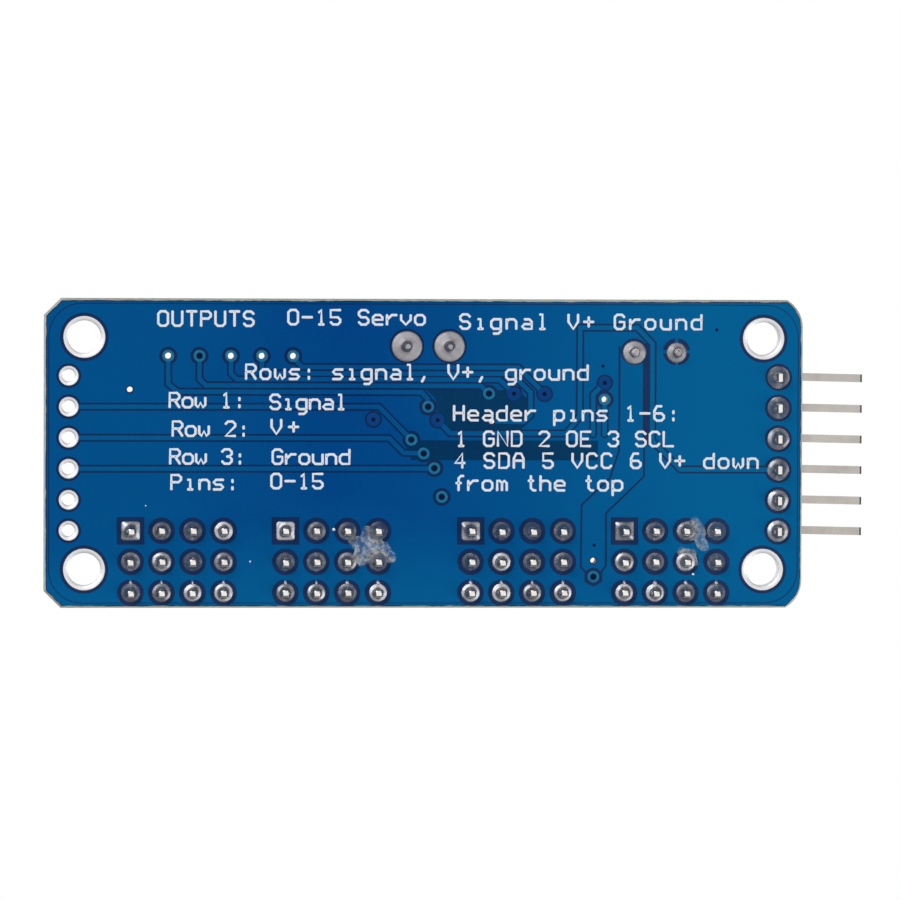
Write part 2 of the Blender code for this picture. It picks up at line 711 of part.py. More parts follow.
def make_array(number, x, material):
    """Four resistors in one ceramic block, with scalloped terminals on both long sides."""
    length, width, height = ARRAY_SIZE
    strip_edge = servo_row_y(ROW_COUNT - 1) + STRIP_WIDTH / 2
    y = strip_edge + ARRAY_ROW_GAP + width / 2
    base = BOARD_TOP + GAP
    half = width / 2
    step = length / GROUP_COLUMNS
    bite = step / 8
    front = [(-length / 2, -half)]
    for boundary in range(1, GROUP_COLUMNS):
        edge = boundary * step - length / 2
        front += [(edge - bite, -half), (edge - bite, bite - half)]
        front += [(edge + bite, bite - half), (edge + bite, -half)]
    front.append((length / 2, -half))
    back = [(-along, -across) for along, across in front]
    shape = bmesh.new()
    outline = [(along, across, base) for along, across in front + back]
    add_prism(shape, outline, (0, 0, height))
    add_piece(f"resistor_array_{number}", shape, (x, y, 0), material)


def make_led(place, material):
    piece = make_capped_part("power_led", place, LED_SIZE, material)
    length, width, height = LED_DOME
    base = BOARD_TOP + GAP + LED_SIZE[2]
    dome = bmesh.new()
    low = (-length / 2, -width / 2, base - END_CAP_PROUD - SINK)
    add_box(dome, low, (length / 2, width / 2, base + height))
    combine(piece, dome, "UNION", "led_dome")


def make_transistor(place, material):
    """The small three-legged part that guards against reversed supply wires."""
    length, width, height = TRANSISTOR_SIZE
    base = BOARD_TOP + CHIP_STANDOFF
    shape = bmesh.new()
    low = (-length / 2, -width / 2, base)
    add_box(shape, low, (length / 2, width / 2, base + height))
    piece = add_piece("protection_transistor", shape, (*place, 0), material)
    legs = bmesh.new()
    foot = BOARD_TOP + GAP
    rise = base + height / 2
    for x, side in ((-length / 3, -1), (length / 3, -1), (0, 1)):
        outline = [
            (side * (width / 2 - SINK), rise - LEAD_SHEET),
            (side * (TRANSISTOR_SPAN / 2 - LEAD_FOOT / 2), rise - LEAD_SHEET),
            (side * (TRANSISTOR_SPAN / 2 - LEAD_FOOT / 2), foot),
            (side * TRANSISTOR_SPAN / 2, foot),
            (side * TRANSISTOR_SPAN / 2, foot + LEAD_SHEET),
            (side * (TRANSISTOR_SPAN - LEAD_SHEET) / 2, rise),
            (side * (width / 2 - SINK), rise),
        ]
        points = [(x - LEAD_WIDTH, y, z) for y, z in outline]
        add_prism(legs, points, (2 * LEAD_WIDTH, 0, 0))
    combine(piece, legs, "UNION", "transistor_legs")


def make_everything():
    place_frame()
    tin = make_material("tinned_brass", (0.78, 0.76, 0.70), 0.3, 1.0)
    black = make_material("black_nylon", (0.02, 0.02, 0.022), 0.45)
    red = make_material("red_nylon", (0.55, 0.03, 0.03), 0.45)
    yellow = make_material("yellow_nylon", (0.85, 0.6, 0.04), 0.45)
    plated_steel = make_material("plated_steel", (0.7, 0.7, 0.68), 0.35, 1.0)
    aluminium = make_material("aluminium", (0.8, 0.81, 0.83), 0.3, 1.0)
    epoxy = make_material("chip_epoxy", (0.025, 0.025, 0.028), 0.5)
    ceramic = make_material("resistor_black", (0.03, 0.03, 0.035), 0.4)

    make_board(make_material("blue_board", (0.01, 0.13, 0.35), 0.4))
    for number, x in enumerate(GROUP_X, 1):
        for row, plastic in enumerate((black, red, yellow)):
            make_servo_row(number, x, row, plastic, tin)
        make_array(number, x, ceramic)
    make_control_header(black, tin)

    make_terminal_housing(make_material("green_nylon", (0.05, 0.42, 0.16), 0.4))
    for number, x in enumerate(pole_x(), 1):
        make_cage(number, x, plated_steel)
        make_terminal_screw(number, x, plated_steel)
        make_contact(number, x, tin)

    sleeve = make_material("capacitor_sleeve", (0.02, 0.022, 0.03), 0.35)
    rubber = make_material("bung_rubber", (0.03, 0.03, 0.03), 0.8)
    winding = make_material("winding_paper", (0.6, 0.5, 0.35), 0.8)
    make_capacitor(aluminium, sleeve, rubber, winding, tin)

    make_chip(epoxy, tin)
    tan = make_material("ceramic_tan", (0.5, 0.36, 0.22), 0.4)
    white = make_material("led_white", (0.85, 0.85, 0.78), 0.3)
    beside_chip = CHIP_X + CHIP_LENGTH / 2 + LEAD_SPAN / 2
    make_capped_part("pullup_resistor_1", (beside_chip, CHIP_Y + PITCH / 2), CHIP_PART_SIZE, ceramic)
    make_capped_part("pullup_resistor_2", (beside_chip, CHIP_Y - PITCH / 2), CHIP_PART_SIZE, ceramic)
    left_of_chip = CHIP_X - CHIP_LENGTH / 2 - LEAD_SPAN / 2
    make_capped_part("bypass_capacitor", (left_of_chip, CHIP_Y), CERAMIC_SIZE, tan, math.pi / 2)
    led_x = PITCH * 2 - CONTROL_X
    make_led((led_x, PITCH / 2), white)
    make_capped_part("led_resistor", (led_x, -PITCH / 2), CHIP_PART_SIZE, ceramic)
    terminal_end = TERMINAL_X - POLES * POLE_PITCH / 2 - TERMINAL_END_WALL
    make_transistor((terminal_end - TRANSISTOR_SIZE[0], CAN_Y), epoxy)


for leftover in list(bpy.data.objects):
    bpy.data.objects.remove(leftover, do_unlink=True)
make_everything()
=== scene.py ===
import math
import random

import bmesh
import bpy
from mathutils import Matrix, Vector, noise


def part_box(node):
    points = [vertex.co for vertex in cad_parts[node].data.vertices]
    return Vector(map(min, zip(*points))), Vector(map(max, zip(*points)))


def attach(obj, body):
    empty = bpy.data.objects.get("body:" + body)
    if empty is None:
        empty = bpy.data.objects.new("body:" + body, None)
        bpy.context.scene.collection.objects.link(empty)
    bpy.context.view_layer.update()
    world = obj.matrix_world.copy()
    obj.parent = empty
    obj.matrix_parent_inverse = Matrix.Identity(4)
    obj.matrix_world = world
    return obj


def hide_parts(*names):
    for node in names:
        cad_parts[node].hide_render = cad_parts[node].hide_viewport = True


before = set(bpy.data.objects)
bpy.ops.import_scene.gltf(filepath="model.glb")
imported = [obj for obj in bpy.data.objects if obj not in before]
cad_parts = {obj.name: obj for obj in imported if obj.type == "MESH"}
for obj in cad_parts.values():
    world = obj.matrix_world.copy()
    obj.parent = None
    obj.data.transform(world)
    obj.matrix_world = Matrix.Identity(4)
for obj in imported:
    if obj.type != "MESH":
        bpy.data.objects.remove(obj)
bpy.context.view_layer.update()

# Everything is shaped in millimetres in the board's own frame: X along the long edge, Y towards
# the screw terminals, Z out of the component side, zero on the middle of the solder side.
MM = 0.001
RING_PROUD = 0.05
board_low, board_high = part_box("circuit_board")
BOARD_ORIGIN = Vector(
    (
        (board_low.x + board_high.x) / 2,
        (board_low.y + board_high.y) / 2,
        board_low.z + RING_PROUD * MM,
    )
)
TO_FRAME = Matrix.Translation(BOARD_ORIGIN) @ Matrix.Scale(MM, 4)
FROM_FRAME = TO_FRAME.inverted()
HALF_LENGTH = (board_high.x - board_low.x) / 2 / MM
HALF_WIDTH = (board_high.y - board_low.y) / 2 / MM
THICK = (board_high.z - board_low.z) / MM - 2 * RING_PROUD

COPPER = 0.04  # copper and the lacquer over it
CORNER_CUT = 1.4
CORNER_ROUND = 2.6
SCORE_INSET = 0.15
SCORE_DEPTH = 0.5
MOUNT_X = HALF_LENGTH - 3.31
MOUNT_Y = HALF_WIDTH - 3.175
MOUNT_HOLE = 1.36
MOUNT_PAD = 1.74
PITCH = 2.54
PIN_HALF = 0.32
PIN_TIP = 0.1
JOINT_RADIUS = 0.76
GROUP_X = (20.32, 7.62, -7.62, -20.32)
ROW_Y = {"ground": -11.43, "power": -8.89, "signal": -6.35}
COLUMNS = (1.5 * PITCH, 0.5 * PITCH, -0.5 * PITCH, -1.5 * PITCH)
END_X = 29.21
END_Y = [PITCH * (step - 2.5) for step in range(6)]
POLE_X = (1.5, -2.0)
POLE_Y = 9.0
CAN_X = -19.0
CAN_Y = 8.43
LEAD_X = (CAN_X + 1.75, CAN_X - 1.75)
CHIP_X = -4.3
CHIP_Y = 1.9

draw = random.Random(41)
noise.seed_set(41)


# ---------------------------------------------------------------- shaping

def turned(profile, steps=24, ring=False):
    """A mesh turned about Z from (radius, height) points; ring closes the profile on itself."""
    shape = bmesh.new()
    points = [shape.verts.new((radius, 0, height)) for radius, height in profile]
    pairs = list(zip(points, points[1:])) + ([(points[-1], points[0])] if ring else [])
    edges = [shape.edges.new(pair) for pair in pairs]
    bmesh.ops.spin(
        shape,
        geom=points + edges,
        cent=(0, 0, 0),
        axis=(0, 0, 1),
        angle=math.tau,
        steps=steps,
        use_merge=True,
    )
    bmesh.ops.remove_doubles(shape, verts=shape.verts, dist=1e-5)
    bmesh.ops.recalc_face_normals(shape, faces=shape.faces)
    return as_mesh(shape)


def as_mesh(shape):
    """The shape as a mesh to stamp; the shape itself is used up."""
    mesh = bpy.data.meshes.new("pattern")
    shape.to_mesh(mesh)
    shape.free()
    return mesh


def stamp(shape, mesh, place=(0, 0, 0), turn=0.0, scale=(1, 1, 1), finish=None):
    """Adds a copy of mesh to shape and returns its points."""
    first_vert = len(shape.verts)
    first_face = len(shape.faces)
    shape.from_mesh(mesh)
    shape.verts.ensure_lookup_table()
    shape.faces.ensure_lookup_table()
    added = shape.verts[first_vert:]
    matrix = (
        Matrix.Translation(place) @ Matrix.Rotation(turn, 4, "Z") @ Matrix.Diagonal((*scale, 1))
    )
    bmesh.ops.transform(shape, matrix=matrix, verts=added)
    if scale[0] * scale[1] * scale[2] < 0:
        bmesh.ops.reverse_faces(shape, faces=shape.faces[first_face:])
    if finish is not None:
        for face in shape.faces[first_face:]:
            face.material_index = finish
    return added


def add_plate(shape, outline, low, high):
    """A closed plate with this outline between two heights."""
    base = shape.faces.new([shape.verts.new((x, y, low)) for x, y in outline])
    grown = bmesh.ops.extrude_face_region(shape, geom=[base])["geom"]
    raised = [item for item in grown if isinstance(item, bmesh.types.BMVert)]
    bmesh.ops.translate(shape, verts=raised, vec=(0, 0, high - low))
    return base, [item for item in grown if isinstance(item, bmesh.types.BMFace)][0]


def add_block(shape, low, high):
    """A closed block between two corners."""
    outline = [(low[0], low[1]), (high[0], low[1]), (high[0], high[1]), (low[0], high[1])]
    return add_plate(shape, outline, low[2], high[2])


def add_disc(shape, x, y, radius, low, high, sides=24, turn=0.0):
    """A closed round plate, or one with few sides, between two heights."""
    angles = [turn + math.tau * step / sides for step in range(sides)]
    outline = [(x + radius * math.cos(a), y + radius * math.sin(a)) for a in angles]
    add_plate(shape, outline, low, high)


def track_outline(path, width):
    """The closed outline of a track of even width with round ends."""
    points = [Vector(point) for point in path]
    half = width / 2
    left, right = [], []
    for index, point in enumerate(points):
        after = points[min(index + 1, len(points) - 1)] - points[min(index, len(points) - 2)]
        before = points[max(index, 1)] - points[max(index - 1, 0)]
        before.normalize()
        after.normalize()
        middle = (before + after).normalized()
        across = Vector((-middle.y, middle.x))
        reach = half / max(0.4, across.dot(Vector((-before.y, before.x))))
        left.append(point + across * reach)
        right.append(point - across * reach)
    return left + round_end(left[-1], right[-1]) + right[::-1] + round_end(right[0], left[0])


def round_end(start, end, steps=5):
    """Points of the half circle that closes a track's end, clockwise from start to end."""
    middle = (start + end) / 2
    arm = start - middle
    points = []
    for step in range(1, steps):
        angle = -math.pi * step / steps
        turned_arm = Vector(
            (
                arm.x * math.cos(angle) - arm.y * math.sin(angle),
                arm.x * math.sin(angle) + arm.y * math.cos(angle),
            )
        )
        points.append(middle + turned_arm)
    return points


def settle(shape):
    """Turns every closed shell's faces outwards."""
    bmesh.ops.recalc_face_normals(shape, faces=shape.faces)


def cut(shape, cutter):
    """The first shape less the second."""
    for each in (shape, cutter):
        settle(each)
    pair = [bpy.data.objects.new("work", as_mesh(each)) for each in (shape, cutter)]
    for each in pair:
        bpy.context.scene.collection.objects.link(each)
    step = pair[0].modifiers.new("cut", "BOOLEAN")
    step.operation = "DIFFERENCE"
    step.solver = "EXACT"
    step.use_self = True
    step.object = pair[1]
    bpy.context.view_layer.update()
    solved = pair[0].evaluated_get(bpy.context.evaluated_depsgraph_get())
    result = bmesh.new()
    result.from_mesh(solved.to_mesh())
    solved.to_mesh_clear()
    for each in pair:
        bpy.data.objects.remove(each)
    return result


def soften(shape, width, angle=40.0, segments=2, only=None):
    """Bevels every edge sharper than angle, in degrees."""
    edges = [
        edge
        for edge in shape.edges
        if len(edge.link_faces) == 2
        and edge.calc_face_angle(0) > math.radians(angle)
        and (only is None or only(edge))
    ]
    bmesh.ops.bevel(
        shape,
        geom=edges,
        offset=width,
        offset_type="OFFSET",
        affect="EDGES",
        segments=segments,
        profile=0.5,
        material=-1,
        clamp_overlap=True,
    )


def finish_piece(name, shape, finishes, body="board", nodes=(), crease=35.0):
    """Places a shape made in the board's frame in the scene with its finishes, under its body's
    empty, and hides the CAD nodes it replaces.
    """
    for face in shape.faces:
        face.smooth = True
    for edge in shape.edges:
        edge.smooth = (
            len(edge.link_faces) != 2 or edge.calc_face_angle(0) < math.radians(crease)
        )
    bmesh.ops.transform(shape, matrix=TO_FRAME, verts=shape.verts)
    mesh = bpy.data.meshes.new(name)
    shape.to_mesh(mesh)
    shape.free()
    piece = bpy.data.objects.new(name, mesh)
    bpy.context.scene.collection.objects.link(piece)
    for finish in finishes:
        mesh.materials.append(finish)
    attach(piece, body)
    if nodes:
        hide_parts(*nodes)
    return piece


def copied(node):
    """A CAD node's solid in the board's frame, with its doubles merged and its flats whole."""
    shape = bmesh.new()
    shape.from_mesh(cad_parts[node].data)
    bmesh.ops.transform(shape, matrix=FROM_FRAME, verts=shape.verts)
    bmesh.ops.remove_doubles(shape, verts=shape.verts, dist=1e-3)
    bmesh.ops.dissolve_limit(
        shape, angle_limit=math.radians(0.5), verts=shape.verts, edges=shape.edges
    )
    for face in shape.faces:
        face.material_index = 0
    return shape


def without_solder(shape, x, y, reach=0.3):
    """Draws a CAD solder cone in to the pin it surrounds; the finer joint then covers it."""
    for vert in shape.verts:
        arm = Vector((vert.co.x - x, vert.co.y - y))
        if vert.co.z < 0 and arm.length > reach * 1.55:
            arm *= reach / arm.length
            vert.co.x, vert.co.y = x + arm.x, y + arm.y


def box_mm(node):
    """A CAD node's lowest and highest corner in the board's frame."""
    low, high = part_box(node)
    return FROM_FRAME @ low, FROM_FRAME @ high


# ---------------------------------------------------------------- finishes

def new_group(name, inputs, outputs):
    """An empty shader group with number or colour sockets: (socket name, kind, start value)."""
    tree = bpy.data.node_groups.new(name, "ShaderNodeTree")
    for label, kind, start in inputs:
        socket = tree.interface.new_socket(label, in_out="INPUT", socket_type=kind)
        socket.default_value = start
    for label, kind in outputs:
        tree.interface.new_socket(label, in_out="OUTPUT", socket_type=kind)
    return tree, tree.nodes.new("NodeGroupInput"), tree.nodes.new("NodeGroupOutput")


def add_node(tree, kind, values=(), **settings):
    """A node with its settings, and values for its sockets by number or name."""
    node = tree.nodes.new(kind)
    for key, value in settings.items():
        setattr(node, key, value)
    for key, value in dict(values).items():
        node.inputs[key].default_value = value
    return node


FLOAT = "NodeSocketFloat"


def make_grain():
    """Fine mottling, with a coarser drift on top."""
    tree, given, made = new_group(
        "surface_grain",
        [("Fine", FLOAT, 8000.0), ("Coarse", FLOAT, 600.0), ("Drift", FLOAT, 0.4)],
        [("Shade", FLOAT), ("Height", FLOAT)],
    )
    place = add_node(tree, "ShaderNodeTexCoord")
    fine = add_node(tree, "ShaderNodeTexNoise", {"Detail": 4.0, "Roughness": 0.6})
    coarse = add_node(tree, "ShaderNodeTexNoise", {"Detail": 3.0})
    blend = add_node(tree, "ShaderNodeMix", data_type="FLOAT")
    tree.links.new(place.outputs["Object"], fine.inputs["Vector"])
    tree.links.new(place.outputs["Object"], coarse.inputs["Vector"])
    tree.links.new(given.outputs["Fine"], fine.inputs["Scale"])
    tree.links.new(given.outputs["Coarse"], coarse.inputs["Scale"])
    tree.links.new(given.outputs["Drift"], blend.inputs[0])
    tree.links.new(fine.outputs[0], blend.inputs[2])
    tree.links.new(coarse.outputs[0], blend.inputs[3])
    tree.links.new(blend.outputs[0], made.inputs["Shade"])
    tree.links.new(fine.outputs[0], made.inputs["Height"])
    return tree


def make_weave():
    """Glass cloth showing faintly through the lacquer."""
    tree, given, made = new_group(
        "glass_weave",
        [("Threads", FLOAT, 2600.0), ("Wander", FLOAT, 1.2)],
        [("Shade", FLOAT), ("Height", FLOAT)],
    )
    place = add_node(tree, "ShaderNodeTexCoord")
    both = add_node(tree, "ShaderNodeMath", operation="ADD")
    for slot, direction in enumerate(("X", "Y")):
        wave = add_node(
            tree,
            "ShaderNodeTexWave",
            {"Detail": 2.0, "Detail Scale": 3.0},
            wave_type="BANDS",
            bands_direction=direction,
        )
        tree.links.new(place.outputs["Object"], wave.inputs["Vector"])
        tree.links.new(given.outputs["Threads"], wave.inputs["Scale"])
        tree.links.new(given.outputs["Wander"], wave.inputs["Distortion"])
        tree.links.new(wave.outputs["Fac"], both.inputs[slot])
    half = add_node(tree, "ShaderNodeMath", {1: 0.5}, operation="MULTIPLY")
    tree.links.new(both.outputs[0], half.inputs[0])
    tree.links.new(half.outputs[0], made.inputs["Shade"])
    tree.links.new(half.outputs[0], made.inputs["Height"])
    return tree


def make_specks():
    """Scattered specks, such as dust, pits or flux."""
    tree, given, made = new_group(
        "scattered_specks",
        [("Scale", FLOAT, 3000.0), ("Amount", FLOAT, 0.1)],
        [("Mask", FLOAT)],
    )
    place = add_node(tree, "ShaderNodeTexCoord")
    spread = add_node(tree, "ShaderNodeTexNoise", {"Detail": 5.0, "Roughness": 0.7})
    sink = add_node(tree, "ShaderNodeMath", {0: 0.78}, operation="SUBTRACT")
    ramp = add_node(tree, "ShaderNodeMapRange", {"From Max": 0.9})
    tree.links.new(place.outputs["Object"], spread.inputs["Vector"])
    tree.links.new(given.outputs["Scale"], spread.inputs["Scale"])
    tree.links.new(given.outputs["Amount"], sink.inputs[1])
    tree.links.new(spread.outputs[0], ramp.inputs["Value"])
    tree.links.new(sink.outputs[0], ramp.inputs["From Min"])
    tree.links.new(ramp.outputs[0], made.inputs["Mask"])
    return tree


def make_edge_wear():
    """Where an edge stands proud and is rubbed first."""
    tree, given, made = new_group(
        "edge_wear", [("Reach", FLOAT, 0.06)], [("Mask", FLOAT)]
    )
    shape = add_node(tree, "ShaderNodeNewGeometry")
    top = add_node(tree, "ShaderNodeMath", {0: 0.52}, operation="ADD")
    ramp = add_node(tree, "ShaderNodeMapRange", {"From Min": 0.52})
    tree.links.new(given.outputs["Reach"], top.inputs[1])
    tree.links.new(shape.outputs["Pointiness"], ramp.inputs["Value"])
    tree.links.new(top.outputs[0], ramp.inputs["From Max"])
    tree.links.new(ramp.outputs[0], made.inputs["Mask"])
    return tree


GRAIN = make_grain()
WEAVE = make_weave()
SPECKS = make_specks()
EDGE_WEAR = make_edge_wear()


def add_group(tree, group, **values):
    """A shader group's node, with values for its sockets."""
    node = tree.nodes.new("ShaderNodeGroup")
    node.node_tree = group
    for label, value in values.items():
        node.inputs[label].default_value = value
    return node


def mix_colour(tree, mask, first, second):
    """A colour mix; first and second are colours or sockets."""
    node = tree.nodes.new("ShaderNodeMix")
    node.data_type = "RGBA"
    tree.links.new(mask, node.inputs[0])
    for number, value in ((6, first), (7, second)):
        if isinstance(value, bpy.types.NodeSocket):
            tree.links.new(value, node.inputs[number])
        else:
            node.inputs[number].default_value = (*value, 1)
    return node.outputs[2]


def add_bump(tree, bsdf, height, strength, distance):
    """Raises the finish by a height socket; distance is in millimetres."""
    bump = add_node(tree, "ShaderNodeBump", {"Strength": strength, "Distance": distance * MM})
    tree.links.new(height, bump.inputs["Height"])
    tree.links.new(bump.outputs[0], bsdf.inputs["Normal"])


def make_finish(
    name,
    dark,
    light,
    rough=(0.4, 0.5),
    metallic=0.0,
    fine=0.12,
    coarse=1.6,
    drift=0.4,
    bump=0.15,
    depth=0.01,
    specks=None,
    worn=None,
    **plain,
):
    """A finish that drifts between two colours, with grain, specks (colour, amount, size) and
    rubbed edges (colour, reach). Sizes are in millimetres; plain values go to the shader."""
    material = bpy.data.materials.new(name)
    material.use_nodes = True
    material.diffuse_color = (*light, 1)
    tree = material.node_tree
    bsdf = tree.nodes["Principled BSDF"]
    bsdf.inputs["Metallic"].default_value = metallic
    for label, value in plain.items():
        bsdf.inputs[label.replace("_", " ")].default_value = value
    grain = add_group(
        tree, GRAIN, Fine=1 / (fine * MM), Coarse=1 / (coarse * MM), Drift=drift
    )
    spread = add_node(tree, "ShaderNodeMapRange", {"From Min": 0.3, "From Max": 0.7})
    tree.links.new(grain.outputs["Shade"], spread.inputs["Value"])
    colour = mix_colour(tree, spread.outputs[0], dark, light)
    if specks:
        group = add_group(tree, SPECKS, Scale=1 / (specks[2] * MM), Amount=specks[1])
        colour = mix_colour(tree, group.outputs["Mask"], colour, specks[0])
    if worn:
        group = add_group(tree, EDGE_WEAR, Reach=worn[1])
        colour = mix_colour(tree, group.outputs["Mask"], colour, worn[0])
    tree.links.new(colour, bsdf.inputs["Base Color"])
    matt = add_node(
        tree,
        "ShaderNodeMapRange",
        {"From Min": 0.3, "From Max": 0.7, "To Min": rough[0], "To Max": rough[1]},
    )
    tree.links.new(grain.outputs["Height"], matt.inputs["Value"])
    tree.links.new(matt.outputs[0], bsdf.inputs["Roughness"])
    add_bump(tree, bsdf, grain.outputs["Height"], bump, depth)
    return material


def make_lacquer(name, dark, light, pale, gloss=0.012):
    """Blue solder lacquer over copper or bare laminate: the weave shows faintly through it, and
    it turns paler towards the servo rows and both ends of the board."""
    material = bpy.data.materials.new(name)
    material.use_nodes = True
    material.diffuse_color = (*light, 1)
    tree = material.node_tree
    bsdf = tree.nodes["Principled BSDF"]
    bsdf.inputs["Specular IOR Level"].default_value = gloss
    bsdf.inputs["IOR"].default_value = 1.5
    weave = add_group(tree, WEAVE, Threads=2400.0, Wander=1.5)
    grain = add_group(tree, GRAIN, Fine=7000.0, Coarse=190.0, Drift=0.45)
    spread = add_node(tree, "ShaderNodeMapRange", {"From Min": 0.34, "From Max": 0.66})
    tree.links.new(grain.outputs["Shade"], spread.inputs["Value"])
    base = mix_colour(tree, spread.outputs[0], dark, light)
    threads = add_node(tree, "ShaderNodeMath", {1: 0.16}, operation="MULTIPLY")
    tree.links.new(weave.outputs["Shade"], threads.inputs[0])
    woven = mix_colour(tree, threads.outputs[0], base, [c * 0.45 for c in dark])
    place = add_node(tree, "ShaderNodeTexCoord")
    along = add_node(tree, "ShaderNodeSeparateXYZ")
    lengthwise = add_node(
        tree, "ShaderNodeMapRange", {"From Min": 0.008, "From Max": -0.02, "To Max": 0.62}
    )
    crosswise = add_node(
        tree, "ShaderNodeMapRange", {"From Min": -0.003, "From Max": -0.0125, "To Max": 0.55}
    )
    far_end = add_node(
        tree, "ShaderNodeMapRange", {"From Min": 0.01, "From Max": 0.024, "To Max": 0.26}
    )
    ends = add_node(tree, "ShaderNodeMath", operation="MAXIMUM")
    drift = add_node(tree, "ShaderNodeMath", operation="MAXIMUM")
    tree.links.new(place.outputs["Object"], along.inputs[0])
    tree.links.new(along.outputs["X"], lengthwise.inputs["Value"])
    tree.links.new(along.outputs["Y"], crosswise.inputs["Value"])
    tree.links.new(along.outputs["X"], far_end.inputs["Value"])
    tree.links.new(lengthwise.outputs[0], ends.inputs[0])
    tree.links.new(far_end.outputs[0], ends.inputs[1])
    tree.links.new(ends.outputs[0], drift.inputs[0])
    tree.links.new(crosswise.outputs[0], drift.inputs[1])
    tree.links.new(mix_colour(tree, drift.outputs[0], woven, pale), bsdf.inputs["Base Color"])
    rough = add_node(tree, "ShaderNodeMapRange", {"To Min": 0.28, "To Max": 0.42})
    tree.links.new(grain.outputs["Height"], rough.inputs["Value"])
    tree.links.new(rough.outputs[0], bsdf.inputs["Roughness"])
    add_bump(tree, bsdf, weave.outputs["Height"], 0.12, 0.012)
    return material


def make_laminate():
    """Epoxy and glass: thin pale layers on the cut edge, with broken fibres."""
    material = bpy.data.materials.new("laminate_edge")
    material.use_nodes = True
    tree = material.node_tree
    bsdf = tree.nodes["Principled BSDF"]
    place = add_node(tree, "ShaderNodeTexCoord")
    flat = add_node(tree, "ShaderNodeMapping")
    flat.inputs["Scale"].default_value = (1600.0, 1600.0, 9000.0)
    layers = add_node(tree, "ShaderNodeTexNoise", {"Scale": 1.0, "Detail": 5.0})
    tree.links.new(place.outputs["Object"], flat.inputs["Vector"])
    tree.links.new(flat.outputs[0], layers.inputs["Vector"])
    spread = add_node(tree, "ShaderNodeMapRange", {"From Min": 0.35, "From Max": 0.65})
    tree.links.new(layers.outputs[0], spread.inputs["Value"])
    colour = mix_colour(tree, spread.outputs[0], (0.5, 0.53, 0.42), (0.72, 0.76, 0.64))
    fibres = add_group(tree, SPECKS, Scale=5200.0, Amount=0.2)
    colour = mix_colour(tree, fibres.outputs["Mask"], colour, (0.92, 0.93, 0.86))
    tree.links.new(colour, bsdf.inputs["Base Color"])
    bsdf.inputs["Roughness"].default_value = 0.75
    bsdf.inputs["Subsurface Weight"].default_value = 0.15
    bsdf.inputs["Subsurface Scale"].default_value = 0.0006
    add_bump(tree, bsdf, layers.outputs[0], 0.6, 0.03)
    return material


def make_sleeve():
    """Shrunk plastic sleeve with a pale stripe and minus marks on the negative lead's side."""
    material = make_finish(
        "printed_sleeve", (0.012, 0.013, 0.016), (0.024, 0.025, 0.03), (0.22, 0.34), bump=0.05
    )
    tree = material.node_tree
    bsdf = tree.nodes["Principled BSDF"]
    black = bsdf.inputs["Base Color"].links[0].from_socket
    place = add_node(tree, "ShaderNodeTexCoord")
    centre = add_node(tree, "ShaderNodeMapping")
    axis = TO_FRAME @ Vector((CAN_X, CAN_Y, 0))
    centre.inputs["Location"].default_value = (-axis.x, -axis.y, 0)
    parts = add_node(tree, "ShaderNodeSeparateXYZ")
    angle = add_node(tree, "ShaderNodeMath", operation="ARCTAN2")
    size = add_node(tree, "ShaderNodeMath", operation="ABSOLUTE")
    band = add_node(tree, "ShaderNodeMath", {1: 2.72}, operation="GREATER_THAN")
    mark = add_node(tree, "ShaderNodeMath", {1: 2.98}, operation="GREATER_THAN")
    rows = add_node(tree, "ShaderNodeMath", {1: 0.0014}, operation="PINGPONG")
    bar = add_node(tree, "ShaderNodeMath", {1: 0.00022}, operation="LESS_THAN")
    both = add_node(tree, "ShaderNodeMath", operation="MULTIPLY")
    tree.links.new(place.outputs["Object"], centre.inputs["Vector"])
    tree.links.new(centre.outputs[0], parts.inputs[0])
    tree.links.new(parts.outputs["Y"], angle.inputs[0])
    tree.links.new(parts.outputs["X"], angle.inputs[1])
    tree.links.new(angle.outputs[0], size.inputs[0])
    tree.links.new(size.outputs[0], band.inputs[0])
    tree.links.new(size.outputs[0], mark.inputs[0])
    tree.links.new(parts.outputs["Z"], rows.inputs[0])
    tree.links.new(rows.outputs[0], bar.inputs[0])
    tree.links.new(mark.outputs[0], both.inputs[0])
    tree.links.new(bar.outputs[0], both.inputs[1])
    striped = mix_colour(tree, band.outputs[0], black, (0.52, 0.54, 0.56))
    marked = mix_colour(tree, both.outputs[0], striped, (0.02, 0.02, 0.025))
    tree.links.new(marked, bsdf.inputs["Base Color"])
    return material


def make_flux():
    """Dried flux: clear, glossy and whitish, thick in some places and hardly there in others."""
    material = make_finish(
        "dried_flux",
        (0.42, 0.5, 0.56),
        (0.85, 0.88, 0.9),
        (0.12, 0.3),
        fine=0.1,
        coarse=0.5,
        bump=0.5,
        depth=0.04,
    )
    tree = material.node_tree
    bsdf = tree.nodes["Principled BSDF"]
    film = add_group(tree, SPECKS, Scale=2600.0, Amount=0.36)
    veil = add_node(tree, "ShaderNodeMapRange", {"To Min": 0.05, "To Max": 0.95})
    tree.links.new(film.outputs["Mask"], veil.inputs["Value"])
    tree.links.new(veil.outputs[0], bsdf.inputs["Alpha"])
    return material


